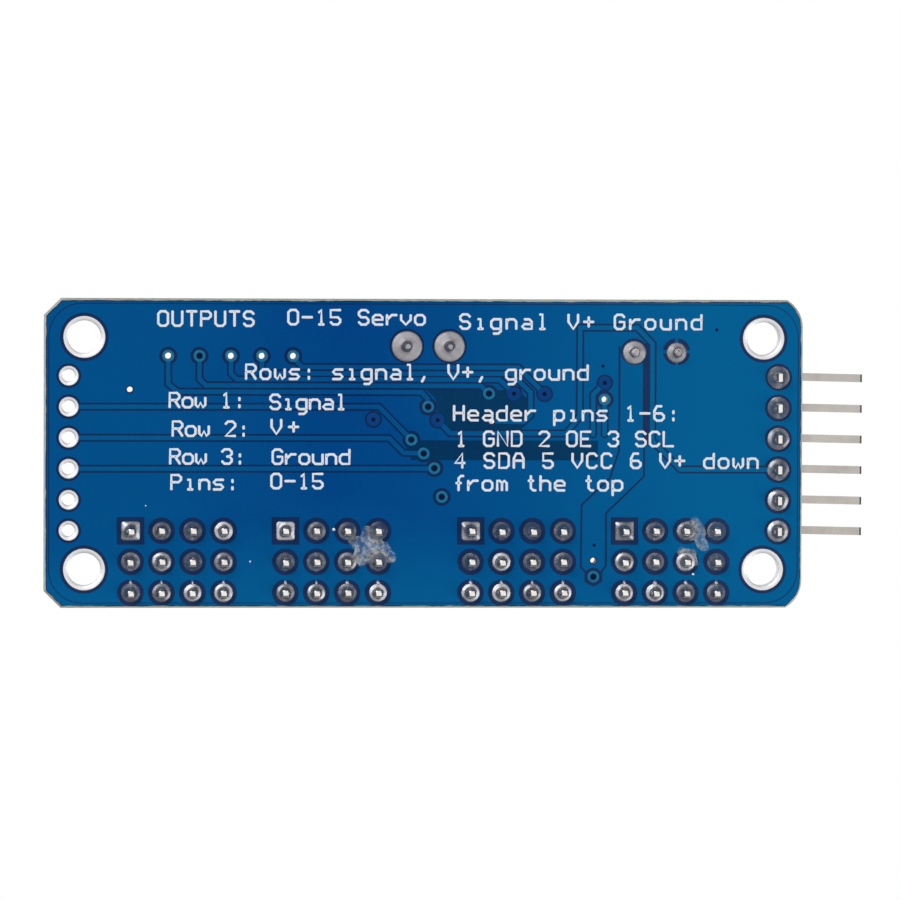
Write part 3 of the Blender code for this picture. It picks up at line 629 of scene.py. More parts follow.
POUR_BLUE = ((0.0, 0.055, 0.235), (0.0003, 0.07, 0.27), (0.0015, 0.158, 0.345))
TRACK_BLUE = ((0.0006, 0.07, 0.25), (0.001, 0.088, 0.28), (0.002, 0.168, 0.345))
lacquer_on_copper = make_lacquer("lacquer_on_copper", *POUR_BLUE)
lacquer_on_track = make_lacquer("lacquer_on_track", *TRACK_BLUE)
lacquer_on_laminate = make_lacquer(
    "lacquer_on_laminate", (0.003, 0.021, 0.085), (0.006, 0.03, 0.115), (0.022, 0.045, 0.125)
)
lacquer_on_bare_area = make_lacquer(
    "lacquer_on_bare_area", (0.0005, 0.026, 0.09), (0.002, 0.045, 0.13), (0.004, 0.055, 0.14)
)
glossy_lacquer = make_lacquer("glossy_lacquer", *POUR_BLUE, gloss=0.35)
glossy_track = make_lacquer("glossy_track", *TRACK_BLUE, gloss=0.35)
laminate_edge = make_laminate()
tin_plate = make_finish(
    "tin_plate", (0.66, 0.65, 0.65), (0.86, 0.85, 0.85), (0.3, 0.45), 1.0, fine=0.08, bump=0.25,
    specks=((0.3, 0.27, 0.25), 0.06, 0.35),
)
solder = make_finish(
    "solder", (0.4, 0.41, 0.43), (0.62, 0.63, 0.66), (0.34, 0.52), 1.0, fine=0.14, bump=0.35,
    depth=0.02, specks=((0.16, 0.15, 0.16), 0.1, 0.3),
)
flat_solder = make_finish(
    "flat_solder", (0.26, 0.255, 0.27), (0.5, 0.49, 0.51), (0.45, 0.62), 1.0, fine=0.1,
    bump=0.5, depth=0.02, specks=((0.8, 0.78, 0.76), 0.16, 0.22),
)
pin_metal = make_finish(
    "pin_metal", (0.38, 0.36, 0.325), (0.6, 0.565, 0.515), (0.24, 0.38), 1.0, fine=0.07, bump=0.12,
    specks=((0.36, 0.32, 0.28), 0.05, 0.5),
)
cut_metal = make_finish(
    "cut_metal", (0.7, 0.69, 0.67), (0.95, 0.94, 0.92), (0.35, 0.5), 1.0, fine=0.05, bump=0.4
)
legend_ink = make_finish(
    "legend_ink", (0.7, 0.74, 0.8), (0.86, 0.88, 0.92), (0.5, 0.66), fine=0.06, bump=0.4,
    specks=((0.42, 0.52, 0.66), 0.1, 0.16),
)
black_plastic = make_finish(
    "black_plastic", (0.012, 0.012, 0.013), (0.024, 0.024, 0.026), (0.38, 0.52), bump=0.3,
    worn=((0.09, 0.09, 0.095), 0.08), specks=((0.12, 0.12, 0.12), 0.05, 0.4),
)
red_plastic = make_finish(
    "red_plastic", (0.42, 0.012, 0.01), (0.58, 0.025, 0.018), (0.34, 0.48), bump=0.25,
    worn=((0.78, 0.16, 0.12), 0.09), specks=((0.66, 0.3, 0.26), 0.04, 0.4),
)
yellow_plastic = make_finish(
    "yellow_plastic", (0.72, 0.42, 0.012), (0.85, 0.56, 0.025), (0.34, 0.48), bump=0.25,
    worn=((0.95, 0.78, 0.3), 0.09), specks=((0.4, 0.26, 0.06), 0.04, 0.4),
)
green_plastic = make_finish(
    "green_plastic", (0.01, 0.16, 0.06), (0.02, 0.25, 0.1), (0.32, 0.5), bump=0.3,
    worn=((0.12, 0.42, 0.24), 0.08), specks=((0.2, 0.4, 0.3), 0.05, 0.5),
)
plated_steel = make_finish(
    "plated_steel", (0.48, 0.48, 0.47), (0.74, 0.74, 0.72), (0.24, 0.44), 1.0, fine=0.1,
    bump=0.2, worn=((0.85, 0.84, 0.8), 0.1), specks=((0.24, 0.22, 0.2), 0.08, 0.3),
)
can_aluminium = make_finish(
    "can_aluminium", (0.68, 0.69, 0.7), (0.86, 0.87, 0.88), (0.22, 0.36), 1.0, fine=0.1, bump=0.12
)
bung_rubber = make_finish("bung_rubber", (0.012, 0.012, 0.012), (0.03, 0.03, 0.03), (0.7, 0.8))
winding_foil = make_finish("winding_foil", (0.3, 0.28, 0.22), (0.45, 0.42, 0.35), (0.4, 0.6))
chip_epoxy = make_finish(
    "chip_epoxy", (0.014, 0.014, 0.015), (0.032, 0.032, 0.033), (0.5, 0.68), fine=0.05,
    bump=0.5, depth=0.008, worn=((0.1, 0.1, 0.1), 0.1),
)
chip_print = make_finish("chip_print", (0.3, 0.3, 0.3), (0.48, 0.48, 0.48), (0.5, 0.7), fine=0.05)
resistor_black = make_finish(
    "resistor_black", (0.01, 0.01, 0.012), (0.022, 0.022, 0.025), (0.24, 0.4), fine=0.06
)
alumina = make_finish("alumina", (0.72, 0.71, 0.68), (0.86, 0.85, 0.82), (0.4, 0.55), fine=0.05)
ceramic_tan = make_finish(
    "ceramic_tan", (0.42, 0.27, 0.14), (0.58, 0.4, 0.23), (0.4, 0.55), fine=0.06, bump=0.3
)
led_lens = make_finish(
    "led_lens", (0.5, 0.75, 0.4), (0.7, 0.9, 0.55), (0.12, 0.2), fine=0.2, bump=0.04,
    Coat_Weight=0.6,
)
via_copper = make_finish(
    "via_copper", (0.001, 0.1, 0.24), (0.006, 0.2, 0.36), (0.3, 0.45), fine=0.1, bump=0.2,
    Specular_IOR_Level=0.15,
)
hole_dark = make_finish(
    "hole_dark", (0.001, 0.004, 0.02), (0.002, 0.01, 0.05), (0.4, 0.6), Specular_IOR_Level=0.05
)
lacquer_dim = make_finish(
    "lacquer_dim", (0.0008, 0.04, 0.185), (0.0012, 0.058, 0.23), (0.3, 0.4), fine=0.1, bump=0.2,
    Specular_IOR_Level=0.05,
)
printed_sleeve = make_sleeve()
dried_flux = make_flux()


# ---------------------------------------------------------------- board

def board_outline(inset=0.0):
    """The board's outline, counter-clockwise seen from the component side, set in evenly."""
    middle_x = CORNER_ROUND - HALF_LENGTH
    middle_y = HALF_WIDTH - CORNER_ROUND * math.sin(math.radians(60))
    arc = []
    for step in range(9):
        angle = math.pi - math.radians(60) * step / 8
        arc.append(
            (middle_x + CORNER_ROUND * math.cos(angle), middle_y + CORNER_ROUND * math.sin(angle))
        )
    upper = arc + [(HALF_LENGTH - CORNER_CUT, HALF_WIDTH), (HALF_LENGTH, HALF_WIDTH - CORNER_CUT)]
    loop = [Vector(point) for point in upper + [(x, -y) for x, y in reversed(upper)]]
    loop.reverse()
    moved = []
    for index, point in enumerate(loop):
        before = (point - loop[index - 1]).normalized()
        after = (loop[(index + 1) % len(loop)] - point).normalized()
        middle = (before + after).normalized()
        inwards = Vector((-middle.y, middle.x))
        moved.append(point + inwards * inset / max(0.3, inwards.dot(Vector((-before.y, before.x)))))
    return moved


def divided(outline, step):
    """The outline with points no further apart than step."""
    points = []
    for index, point in enumerate(outline):
        after = outline[(index + 1) % len(outline)]
        count = max(1, int((after - point).length / step))
        points += [point.lerp(after, n / count) for n in range(count)]
    return points


# Holes, vias and copper of the solder side, as places and paths on the board.
SERVO_PINS = [
    (group + column, ROW_Y[row], row, number)
    for number, group in enumerate(GROUP_X, 1)
    for row in ROW_Y
    for column in COLUMNS
]
MOUNTS = [(sx * MOUNT_X, sy * MOUNT_Y) for sx in (1, -1) for sy in (1, -1)]
OPEN_VIAS = [(21.08, 8.0), (15.94, 8.0), (13.41, 8.0), (10.84, 8.0), (-14.82, 4.49)]
BARE_HOLES = [(24.21, 5.23), (-13.94, -8.79)]
FILLED_HOLES = [(-5.48, 2.68)]
LOOSE_BEADS = [(7.46, -6.23, 0.55), (14.33, -8.87, 0.3), (22.9, -4.3, 0.22), (-22.2, -9.9, 0.4)]
RING_VIAS = [(18.52, 8.0), (-0.26, 3.86), (-5.27, 4.95), (1.11, 1.15), (0.09, 0.02),
             (-0.79, -1.19), (-13.95, -10.12), (-1.41, -3.55)]
DIM_VIAS = [(-7.33, 4.95), (-9.85, 4.93), (-1.05, 2.76), (-14.82, 5.85), (4.24, 2.81)]
DIM_DOTS = [(-24.05, 10.24), (-14.0, -7.52), (-14.66, 7.24)]
TRACKS = [
    [(21.08, 8.0), (21.08, 5.7), (20.3, 5.06), (0.3, 5.06), (-0.22, 4.5),
     (-0.26, 3.86)],
    [(18.52, 8.0), (18.52, 6.1), (18.0, 5.58), (-4.62, 5.58), (-5.27, 4.95)],
    [(15.94, 8.0), (15.94, 6.55), (15.48, 6.09), (-6.15, 6.09), (-7.33, 4.95)],
    [(13.41, 8.0), (13.41, 7.0), (12.99, 6.58), (-7.14, 6.58), (-8.7, 5.05), (-8.7, 3.16),
     (-8.1, 2.62), (-5.48, 2.68)],
    [(10.84, 8.0), (10.5, 7.5), (10.12, 7.1), (-7.7, 7.1), (-9.85, 4.93)],
    [(END_X, 3.81), (3.78, 3.85), (1.11, 1.15)],
    [(END_X, 1.27), (2.94, 1.27), (1.75, 0.08), (0.09, 0.02)],
    [(END_X, -1.27), (-0.79, -1.22)],
    [(-1.05, 2.76), (-2.09, 1.68), (-11.66, 1.68), (-12.77, 3.1), (-12.77, 10.39),
     (-17.49, 10.39), (-18.76, 9.08), (-18.76, 1.11), (-21.1, -1.27), (-END_X, -1.27)],
    [(-14.82, 5.85), (-13.87, 4.9), (-13.87, 1.6)],
    [(-14.82, 4.49), (-14.82, 1.6)],
]
# Gaps in the copper pour, narrow and wide.
GROOVES = [
    [(-16.03, 8.8), (-16.03, 0.3), (-15.3, -1.96), (-12.95, -4.2), (-12.91, -9.31),
     (-13.3, -9.75), (-13.3, -10.5), (-13.95, -10.85), (-14.6, -10.5), (-14.62, -9.7),
     (-14.98, -9.21), (-14.98, -4.87), (-18.1, -1.85), (-18.1, 1.0)],
]
WIDE_GROOVES = [[(-18.22, 8.9), (-18.22, 0.9)]]
BARE_AREAS = [
    [(-0.15, 5.24), (-0.9, 4.5), (-1.05, 3.5), (-1.95, 1.92), (-7.8, 1.92), (-8.37, 2.4),
     (-8.37, 4.6), (-7.6, 5.24)],
    [(1.49, 0.4), (1.1, 1.1), (-14.28, 1.1), (-14.28, -0.53), (1.1, -0.53)],
]
TRACK_WIDTH = 0.38
TOP_TRACK_WIDTH = 0.26
GROOVE = 0.14  # the gap on each side of a track


def make_core():
    """The laminate: lacquered faces, broken V-scored edges and drilled holes."""
    shape = bmesh.new()
    loop = divided(board_outline(0.0), 0.35)
    base, top = add_plate(shape, loop, SCORE_DEPTH, THICK - SCORE_DEPTH)
    settle(shape)
    web = set(shape.verts)
    rise = SCORE_DEPTH - COPPER + 0.005
    for face in (base, top):
        bmesh.ops.inset_region(
            shape, faces=[face], thickness=SCORE_INSET, depth=rise, use_even_offset=True
        )
    for vert in web:
        ragged = noise.noise(Vector((vert.co.x * 2.1, vert.co.y * 2.1, vert.co.z))) * 0.05
        ragged += noise.noise(Vector((vert.co.x * 0.6, vert.co.y * 0.6, 9.0))) * 0.04 - 0.02
        on_end = abs(vert.co.x) > 29.9
        on_side = abs(vert.co.y) > 11.4
        vert.co.x -= math.copysign(max(0.0, -ragged), vert.co.x) * on_end
        vert.co.y -= math.copysign(max(0.0, -ragged), vert.co.y) * on_side
    for face in shape.faces:
        face.material_index = 1 if abs(face.normal.z) > 0.9 else 0
    drill = bmesh.new()
    holes = [(x, y, MOUNT_HOLE + 0.03, 48) for x, y in MOUNTS]
    holes += [(END_X, y, 0.55, 28) for y in END_Y]
    holes += [(x, y, 0.29, 20) for x, y in OPEN_VIAS]
    holes += [(x, y, 0.24, 16) for x, y in BARE_HOLES]
    for x, y, radius, sides in holes:
        add_disc(drill, x, y, radius, -1, THICK + 1, sides)
    shape = cut(shape, drill)
    return finish_piece(
        "laminate_core", shape, [laminate_edge, lacquer_on_laminate],
        nodes=["circuit_board"], crease=20,
    )


def pad_clearances():
    """Every pad that the copper stands clear of on both faces: x, y, radius, sides."""
    clear = [(x, y, 1.98, 48) for x, y in MOUNTS]
    clear += [(END_X, y, 1.02, 32) for y in END_Y]
    clear += [(-END_X, y, 1.12, 32) for y in END_Y]
    return clear


def servo_clearances(shape, low, high):
    """The gaps round the servo pins' pads; the first signal pad of each group is square."""
    for x, y, row, number in SERVO_PINS:
        first = row == "signal" and x > GROUP_X[number - 1] + PITCH
        if first:
            add_disc(shape, x, y, 1.13 * math.sqrt(2), low, high, 4, math.pi / 4)
        else:
            add_disc(shape, x, y, 1.1, low, high, 28)


def make_solder_side_copper():
    """The copper pour under its lacquer, the tracks in their gaps and the two bare areas."""
    pour = bmesh.new()
    add_plate(pour, board_outline(SCORE_INSET + 0.1), 0, COPPER)
    cutter = bmesh.new()
    low, high = -1, 1
    for x, y, radius, sides in pad_clearances():
        add_disc(cutter, x, y, radius, low, high, sides)
    servo_clearances(cutter, low, high)
    for x in POLE_X:
        add_disc(cutter, x, POLE_Y - 0.15, 1.42, low, high, 36)
    add_disc(cutter, LEAD_X[0], CAN_Y, 1.1, low, high, 32)
    add_disc(cutter, LEAD_X[1], CAN_Y, 1.12, low, high, 32)
    for x, y in OPEN_VIAS + RING_VIAS:
        add_disc(cutter, x, y, 0.74, low, high, 24)
    for x, y in BARE_HOLES:
        add_disc(cutter, x, y, 0.34, low, high, 20)
    for x, y in DIM_VIAS:
        add_disc(cutter, x, y, 0.7, low, high, 24)
    for path in TRACKS:
        add_plate(cutter, track_outline(path, TRACK_WIDTH + 2 * GROOVE), low, high)
    for path in GROOVES:
        add_plate(cutter, track_outline(path, 0.15), low, high)
    for path in WIDE_GROOVES:
        add_plate(cutter, track_outline(path, 0.5), low, high)
    for outline in BARE_AREAS:
        add_plate(cutter, outline, low, high)
    for path in border_paths():
        add_plate(cutter, track_outline(path, 0.07), low, high)
    pour = cut(pour, cutter)
    finish_piece("copper_pour_solder_side", pour, [lacquer_on_copper], crease=20)

    tracks = bmesh.new()
    for path in TRACKS:
        add_plate(tracks, track_outline(path, TRACK_WIDTH), 0.0, COPPER + 0.01)
    settle(tracks)
    soften(tracks, 0.02, 50, 1, lambda edge: all(v.co.z < 0.01 for v in edge.verts))
    drill = bmesh.new()
    for x, y in OPEN_VIAS + RING_VIAS + BARE_HOLES + FILLED_HOLES:
        add_disc(drill, x, y, 0.33, -1, 1, 20)
    for x, y in DIM_VIAS:
        add_disc(drill, x, y, 0.58, -1, 1, 20)
    for y in END_Y:
        add_disc(drill, END_X, y, 0.6, -1, 1, 24)
        add_disc(drill, -END_X, y, 0.6, -1, 1, 24)
    tracks = cut(tracks, drill)
    finish_piece("tracks_solder_side", tracks, [lacquer_on_track], crease=20)

    bare = bmesh.new()
    for outline in BARE_AREAS:
        add_plate(bare, outline, COPPER - 0.012, COPPER + 0.01)
    settle(bare)
    drill = bmesh.new()
    for x, y in RING_VIAS + FILLED_HOLES:
        add_disc(drill, x, y, 0.33, -1, 1, 20)
    bare = cut(bare, drill)
    finish_piece("bare_areas_solder_side", bare, [lacquer_on_bare_area])


def eyelet_profile(hole, pad, proud=RING_PROUD):
    """A plated hole with a pad on both faces, as a closed profile."""
    edge = 0.04
    return [
        (hole, -proud + 0.02), (hole + 0.03, -proud), (pad - edge, -proud), (pad, -proud + edge),
        (pad, COPPER + 0.01), (hole + 0.06, COPPER + 0.01), (hole + 0.06, THICK - COPPER - 0.01),
        (pad, THICK - COPPER - 0.01), (pad, THICK + proud - edge), (pad - edge, THICK + proud),
        (hole + 0.03, THICK + proud), (hole, THICK + proud - 0.02),
    ]


def border_paths():
    """The fine line just inside the board's edge, a quarter at a time."""
    x, y, radius = HALF_LENGTH - 0.42, HALF_WIDTH - 0.42, 2.7
    paths = []
    for sx, sy in ((1, 1), (1, -1), (-1, 1), (-1, -1)):
        arc = []
        for step in range(10):
            angle = math.radians(10 * step)
            arc.append(
                (x - radius + radius * math.cos(angle), y - radius + radius * math.sin(angle))
            )
        path = [(x, -0.1)] + arc + [(-0.1, y)]
        paths.append([(sx * px, sy * py) for px, py in path])
    return paths


def make_eyelets():
    """Plated mounting holes and the six spare holes for a header."""
    mounts = bmesh.new()
    ring = turned(eyelet_profile(MOUNT_HOLE, MOUNT_PAD), 56, True)
    for x, y in MOUNTS:
        stamp(mounts, ring, (x, y, 0))
    finish_piece("mounting_eyelets", mounts, [tin_plate])
    spare = bmesh.new()
    ring = turned(eyelet_profile(0.52, 0.83, 0.035), 32, True)
    for y in END_Y:
        stamp(spare, ring, (END_X, y, 0))
    finish_piece("spare_hole_eyelets", spare, [tin_plate])


def make_vias():
    """Lacquered rings round the small plated holes; some are open and some are filled."""
    rings = bmesh.new()
    plugs = bmesh.new()
    open_ring = turned(
        [
            (0.26, 0.0), (0.3, -0.03), (0.42, -0.03), (0.49, 0.0), (0.49, COPPER + 0.01),
            (0.31, COPPER + 0.01), (0.31, THICK - COPPER - 0.01), (0.49, THICK - COPPER - 0.01),
            (0.49, THICK), (0.42, THICK + 0.03), (0.3, THICK + 0.03), (0.26, THICK),
        ],
        24,
        True,
    )
    lid = turned([(0.0, 0.03), (0.28, 0.03), (0.28, 0.05), (0.0, 0.05)], 16)
    dim = turned(
        [
            (0.0, 0.004), (0.1, 0.0), (0.18, -0.012), (0.3, -0.02), (0.5, -0.012),
            (0.56, 0.002), (0.56, 0.03), (0.0, 0.03),
        ],
        24,
    )
    for x, y in OPEN_VIAS + RING_VIAS:
        stamp(rings, open_ring, (x, y, 0))
    for x, y in RING_VIAS:
        stamp(plugs, lid, (x, y, 0))
    finish_piece("via_rings", rings, [via_copper])
    finish_piece("via_plugs", plugs, [hole_dark])
    covered = bmesh.new()
    spot = turned([(0.0, -0.03), (0.1, -0.03), (0.17, -0.02), (0.2, 0.03), (0.0, 0.03)], 16)
    for x, y in DIM_VIAS:
        stamp(covered, dim, (x, y, 0), finish=0)
        stamp(covered, spot, (x, y, 0), finish=1)
    for x, y in DIM_DOTS:
        stamp(covered, spot, (x, y, 0.025), finish=1)
    finish_piece("covered_vias", covered, [lacquer_dim, hole_dark])
    filled = bmesh.new()
    bead = turned([(0.0, -0.03), (0.12, -0.02), (0.22, 0.01), (0.24, 0.06), (0.0, 0.06)], 20)
    for x, y in FILLED_HOLES:
        stamp(filled, bead, (x, y, 0))
    for x, y, size in LOOSE_BEADS:
        stamp(filled, bead, (x, y, -0.02), 0, (size, size, size))
    finish_piece("solder_beads", filled, [tin_plate])


# ---------------------------------------------------------------- solder and pins

def joint_mesh(radius, full, height=0.95, steps=28):
    """A solder joint on the solder side, hanging down from its pad round a pin; full runs from
    0, a flat pad with a thin cone, to 1, a fat cone."""
    core = 0.33
    profile = [
        (0.2, 0.03), (radius + 0.02, 0.03), (radius + 0.02, -0.02), (radius - 0.02, -0.06),
        (radius * 0.88, -0.085 - 0.08 * full), (radius * 0.74, -0.11 - 0.2 * full),
        (radius * 0.6, -0.15 - 0.34 * full), (core + 0.07, -0.3 - 0.42 * full),
        (core + 0.04, -0.5 - 0.28 * full), (core + 0.02, -0.8 * height), (core - 0.03, -height),
        (0.2, -height - 0.02),
    ]
    return turned(profile, steps, True)


# Four joints from flat to fat, and which of them each pin has: by row, group and column.
JOINTS = [joint_mesh(JOINT_RADIUS, full) for full in (0.0, 0.3, 0.65, 1.0)]
JOINT_KINDS = {
    "signal": ((1, 2, 3, 0), (0, 2, 2, 3), (1, 2, 3, 2), (1, 2, 1, 3)),
    "power": ((2, 1, 3, 1), (3, 2, 1, 2), (2, 0, 2, 3), (1, 2, 0, 3)),
    "ground": ((2, 1, 0, 0), (1, 1, 2, 0), (0, 0, 1, 0), (0, 0, 2, 2)),
}
CONTROL_KINDS = (1, 1, 2, 2, 3, 3)
TOP_RING = turned(
    [
        (0.4, THICK + 0.16), (0.44, THICK + 0.13), (0.55, THICK + 0.05), (0.72, THICK + 0.018),
        (0.76, THICK - 0.01), (0.4, THICK - 0.01),
    ],
    24,
    True,
)


def roughen(points, size, seed):
    """Pulls a joint out of true, as hand soldering does, the more the lower it hangs."""
    for vert in points:
        at = Vector((vert.co.x * 1.9, vert.co.y * 1.9, seed + vert.co.z * 0.8))
        shift = noise.noise_vector(at) * size
        reach = min(1.0, max(0.0, -vert.co.z / 0.12))
        vert.co.x += shift.x * reach
        vert.co.y += shift.y * reach
        vert.co.z += shift.z * reach * 0.8


def squared(points, centre, radius):
    """Spreads a round joint over a square pad."""
    for vert in points:
        arm = Vector((vert.co.x - centre[0], vert.co.y - centre[1]))
        length = arm.length
        if length < 1e-4:
            continue
        share = min(1.0, max(0.0, (length / radius - 0.45) / 0.5))
        grow = 1 + (length / max(abs(arm.x), abs(arm.y)) - 1) * share
        vert.co.x = centre[0] + arm.x * grow
        vert.co.y = centre[1] + arm.y * grow


def add_pin(shape, x, y, low, high, half=PIN_HALF, tip=PIN_TIP, lean=(0, 0)):
    """A square pin with both ends dressed to a blunt point; its cut end faces get finish 1."""
    part = bmesh.new()
    end = half - tip
    corners = [(-end, -end), (end, -end), (end, end), (-end, end)]
    face = part.faces.new([part.verts.new((cx, cy, low)) for cx, cy in corners])
    for level, size in ((low + tip * 1.3, half), (high - tip * 1.3, half), (high, end)):
        grown = bmesh.ops.extrude_face_region(part, geom=[face])["geom"]
        raised = [item for item in grown if isinstance(item, bmesh.types.BMVert)]
        face = [item for item in grown if isinstance(item, bmesh.types.BMFace)][0]
        for vert in raised:
            vert.co = (math.copysign(size, vert.co.x), math.copysign(size, vert.co.y), level)
    settle(part)
    soften(part, 0.035, 50, 1)
    for each in part.faces:
        flat = abs(each.normal.z) > 0.95
        each.material_index = 1 if flat and each.calc_center_median().z < 0 else 0
    for vert in part.verts:
        if vert.co.z < 0:
            vert.co.x += lean[0] * -vert.co.z
            vert.co.y += lean[1] * -vert.co.z
    mesh = as_mesh(part)
    stamp(shape, mesh, (x, y, 0))
    bpy.data.meshes.remove(mesh)


def make_servo_headers():
    """Four blocks of three rows: pins, their joints and the plastic strip that holds them."""
    plastics = {
        "ground": (black_plastic, "black_plastic"),
        "power": (red_plastic, "red_plastic"),
        "signal": (yellow_plastic, "yellow_plastic"),
    }
    for number, group in enumerate(GROUP_X, 1):
        for row, y in ROW_Y.items():
            node = f"servo_pins_{row}_{number}"
            low, high = box_mm(node)
            pins = bmesh.new()
            joints = bmesh.new()
            for place, column in enumerate(COLUMNS):
                x = group + column
                lean = (draw.uniform(-0.03, 0.03), draw.uniform(-0.03, 0.03))
                add_pin(pins, x, y, low.z, high.z, lean=lean)
                joint = JOINTS[JOINT_KINDS[row][number - 1][place]]
                spin = draw.uniform(0, math.tau)
                size = draw.uniform(0.96, 1.03)
                scale = (size, size, draw.uniform(0.8, 1.1))
                points = stamp(joints, joint, (x, y, 0), spin, scale)
                if row == "signal" and place == 0:
                    squared(points, (x, y), 0.75)
                roughen(points, 0.09, draw.uniform(0, 50))
                stamp(joints, TOP_RING, (x, y, 0))
            finish_piece(
                f"{row}_pins_{number}", pins, [pin_metal, cut_metal],
                nodes=[node], crease=25,
            )
            finish_piece(f"{row}_joints_{number}", joints, [solder], crease=60)
            strip = copied(f"servo_strip_{row}_{number}")
            settle(strip)
            soften(strip, 0.07, 30, 2)
            plastic, slot = plastics[row]
            finish_piece(
                f"{row}_strip_{number}", strip, [plastic],
                nodes=[f"servo_strip_{row}_{number}"],
            )


def make_ground_spokes():
    """The solder and copper spokes that join the ground pads to the copper round them."""
    spokes = bmesh.new()
    spot = turned(
        [(0.0, 0.03), (0.17, 0.03), (0.17, 0.0), (0.13, -0.05), (0.07, -0.09), (0.0, -0.1)], 12
    )
    for x, y, row, number in SERVO_PINS:
        if row == "ground":
            stamp(spokes, spot, (x, y + 0.79, 0), 0, (draw.uniform(0.7, 1.1), 1.15, 1))
    finish_piece("ground_spoke_solder", spokes, [solder])
    copper = bmesh.new()
    for x, y, row, number in SERVO_PINS:
        if row == "ground":
            add_block(copper, (x - 0.12, y + 0.7, 0.002), (x + 0.12, y + 1.15, COPPER + 0.01))
    for turn in range(4):
        angle = math.tau * turn / 4
        along = Vector((math.cos(angle), math.sin(angle)))
        start = Vector((LEAD_X[1], CAN_Y)) + along * 0.8
        end = Vector((LEAD_X[1], CAN_Y)) + along * 1.2
        add_plate(copper, track_outline([start, end], 0.28), 0.002, COPPER + 0.01)
    settle(copper)
    finish_piece("thermal_spokes", copper, [lacquer_on_copper])


def make_big_joints():
    """The flat, dull joints of the screw terminals and the capacitor."""
    joint_y = POLE_Y - 0.18
    for number in (1, 2):
        low, high = box_mm(f"terminal_contact_{number}")
        x = (low.x + high.x) / 2
        shape = bmesh.new()
        radius = 1.27
        profile = [(0.0, 0.03), (radius, 0.03), (radius, -0.02), (radius - 0.04, -0.07),
                   (radius * 0.92, -0.1), (radius * 0.7, -0.14), (0.62, -0.18), (0.46, -0.25),
                   (0.36, -0.5), (0.33, -0.9), (0.31, -1.2), (0.27, -1.36), (0.2, -1.44),
                   (0.0, -1.47)]
        points = stamp(shape, turned(profile, 36), (x, joint_y, 0))
        roughen(points, 0.06, 3.7 * number)
        finish_piece(f"terminal_joint_{number}", shape, [flat_solder])
        legs = copied(f"terminal_contact_{number}")
        for vert in legs.verts:
            if vert.co.z < 0:
                vert.co.x = x + (vert.co.x - x) * 0.4
                vert.co.y = joint_y + (vert.co.y - POLE_Y) * 0.5
                vert.co.z = max(vert.co.z, -1.3)
        settle(legs)
        soften(legs, 0.05, 40, 1)
        finish_piece(
            f"terminal_contact_strap_{number}", legs, [plated_steel],
            nodes=[f"terminal_contact_{number}"],
        )
    for number, (x, radius) in enumerate(zip(LEAD_X, (0.97, 0.84)), 1):
        shape = bmesh.new()
        profile = [(0.0, 0.03), (radius, 0.03), (radius, -0.02), (radius - 0.04, -0.07),
                   (radius * 0.88, -0.11), (radius * 0.66, -0.15), (0.5, -0.18), (0.4, -0.24),
                   (0.34, -0.42), (0.33, -0.9), (0.31, -1.06), (0.2, -1.13), (0.0, -1.15)]
        points = stamp(shape, turned(profile, 30), (x, CAN_Y - 0.08, 0))
        roughen(points, 0.08, 8.1 * number)
        finish_piece(f"capacitor_joint_{number}", shape, [flat_solder])
        node = min(
            ("capacitor_lead_1", "capacitor_lead_2"),
            key=lambda name: abs((box_mm(name)[0].x + box_mm(name)[1].x) / 2 - x),
        )
        lead = copied(node)
        without_solder(lead, x, CAN_Y, 0.2)
        settle(lead)
        finish_piece(f"{node}_wire", lead, [pin_metal], nodes=[node])


# ---------------------------------------------------------------- lettering

# Each letter is drawn on a grid 4 wide and 8 high, baseline at 2: strokes of column-row pairs.
STROKES = {
    "0": "123243473818070312", "1": "172822 1232", "2": "07183847460242",
    "3": "0718384746354443321203 2535", "4": "32380444", "5": "480805354443321203",
    "6": "38180603123243443505", "7": "08484712", "8": "15060718384746351504031232434435",
    "9": "12324447381807061545", "A": "020618384642 0545", "C": "4738180703123243",
    "D": "02083847433202", "E": "48080242 0535", "G": "47381807031232434525",
    "H": "0208 4248 0545", "L": "080242", "M": "0208254842", "N": "02084248",
    "O": "123243473818070312", "P": "02083847463505", "R": "02083847463505 2542",
    "S": "473818070615354443321203", "T": "0848 2228", "U": "080312324348",
    "V": "0805224548", "W": "0802254248", "a": "1636454212031444", "d": "48421203051646",
    "e": "421203051636454404", "f": "48382722 1535", "g": "461605031242 46413010",
    "h": "0208 0516364542", "i": "162622 1232", "l": "182822 1232",
    "m": "0206162522 25364542", "n": "0206 0516364542", "o": "123243453616050312",
    "p": "0006 0516364543321203", "r": "0206 042646", "s": "4616051434433202",
    "t": "28233242 1636", "u": "06031242 4642", "v": "0604224446", "w": "06031224324346",
    "-": "0545", "+": "0545 2723", ":": "2322 2625", ",": "2311", ".": "2322",
}


def letter_strokes(text, place, length, height, turn=0.0, mirrored=False):
    """Lines of a text that starts at place, as lists of points in the board's plane."""
    unit = height / 6
    step = (length - 4 * unit) / max(1, len(text) - 1) if length else 5 * unit
    lines = []
    for index, letter in enumerate(text):
        for stroke in STROKES.get(letter, "").split():
            points = []
            for number in range(0, len(stroke), 2):
                x = index * step + int(stroke[number]) * unit
                y = (int(stroke[number + 1]) - 2) * unit
                if mirrored:
                    x = -x
                points.append(
                    (
                        place[0] + x * math.cos(turn) - y * math.sin(turn),
                        place[1] + x * math.sin(turn) + y * math.cos(turn),
                    )
                )
            lines.append(points)
    return lines


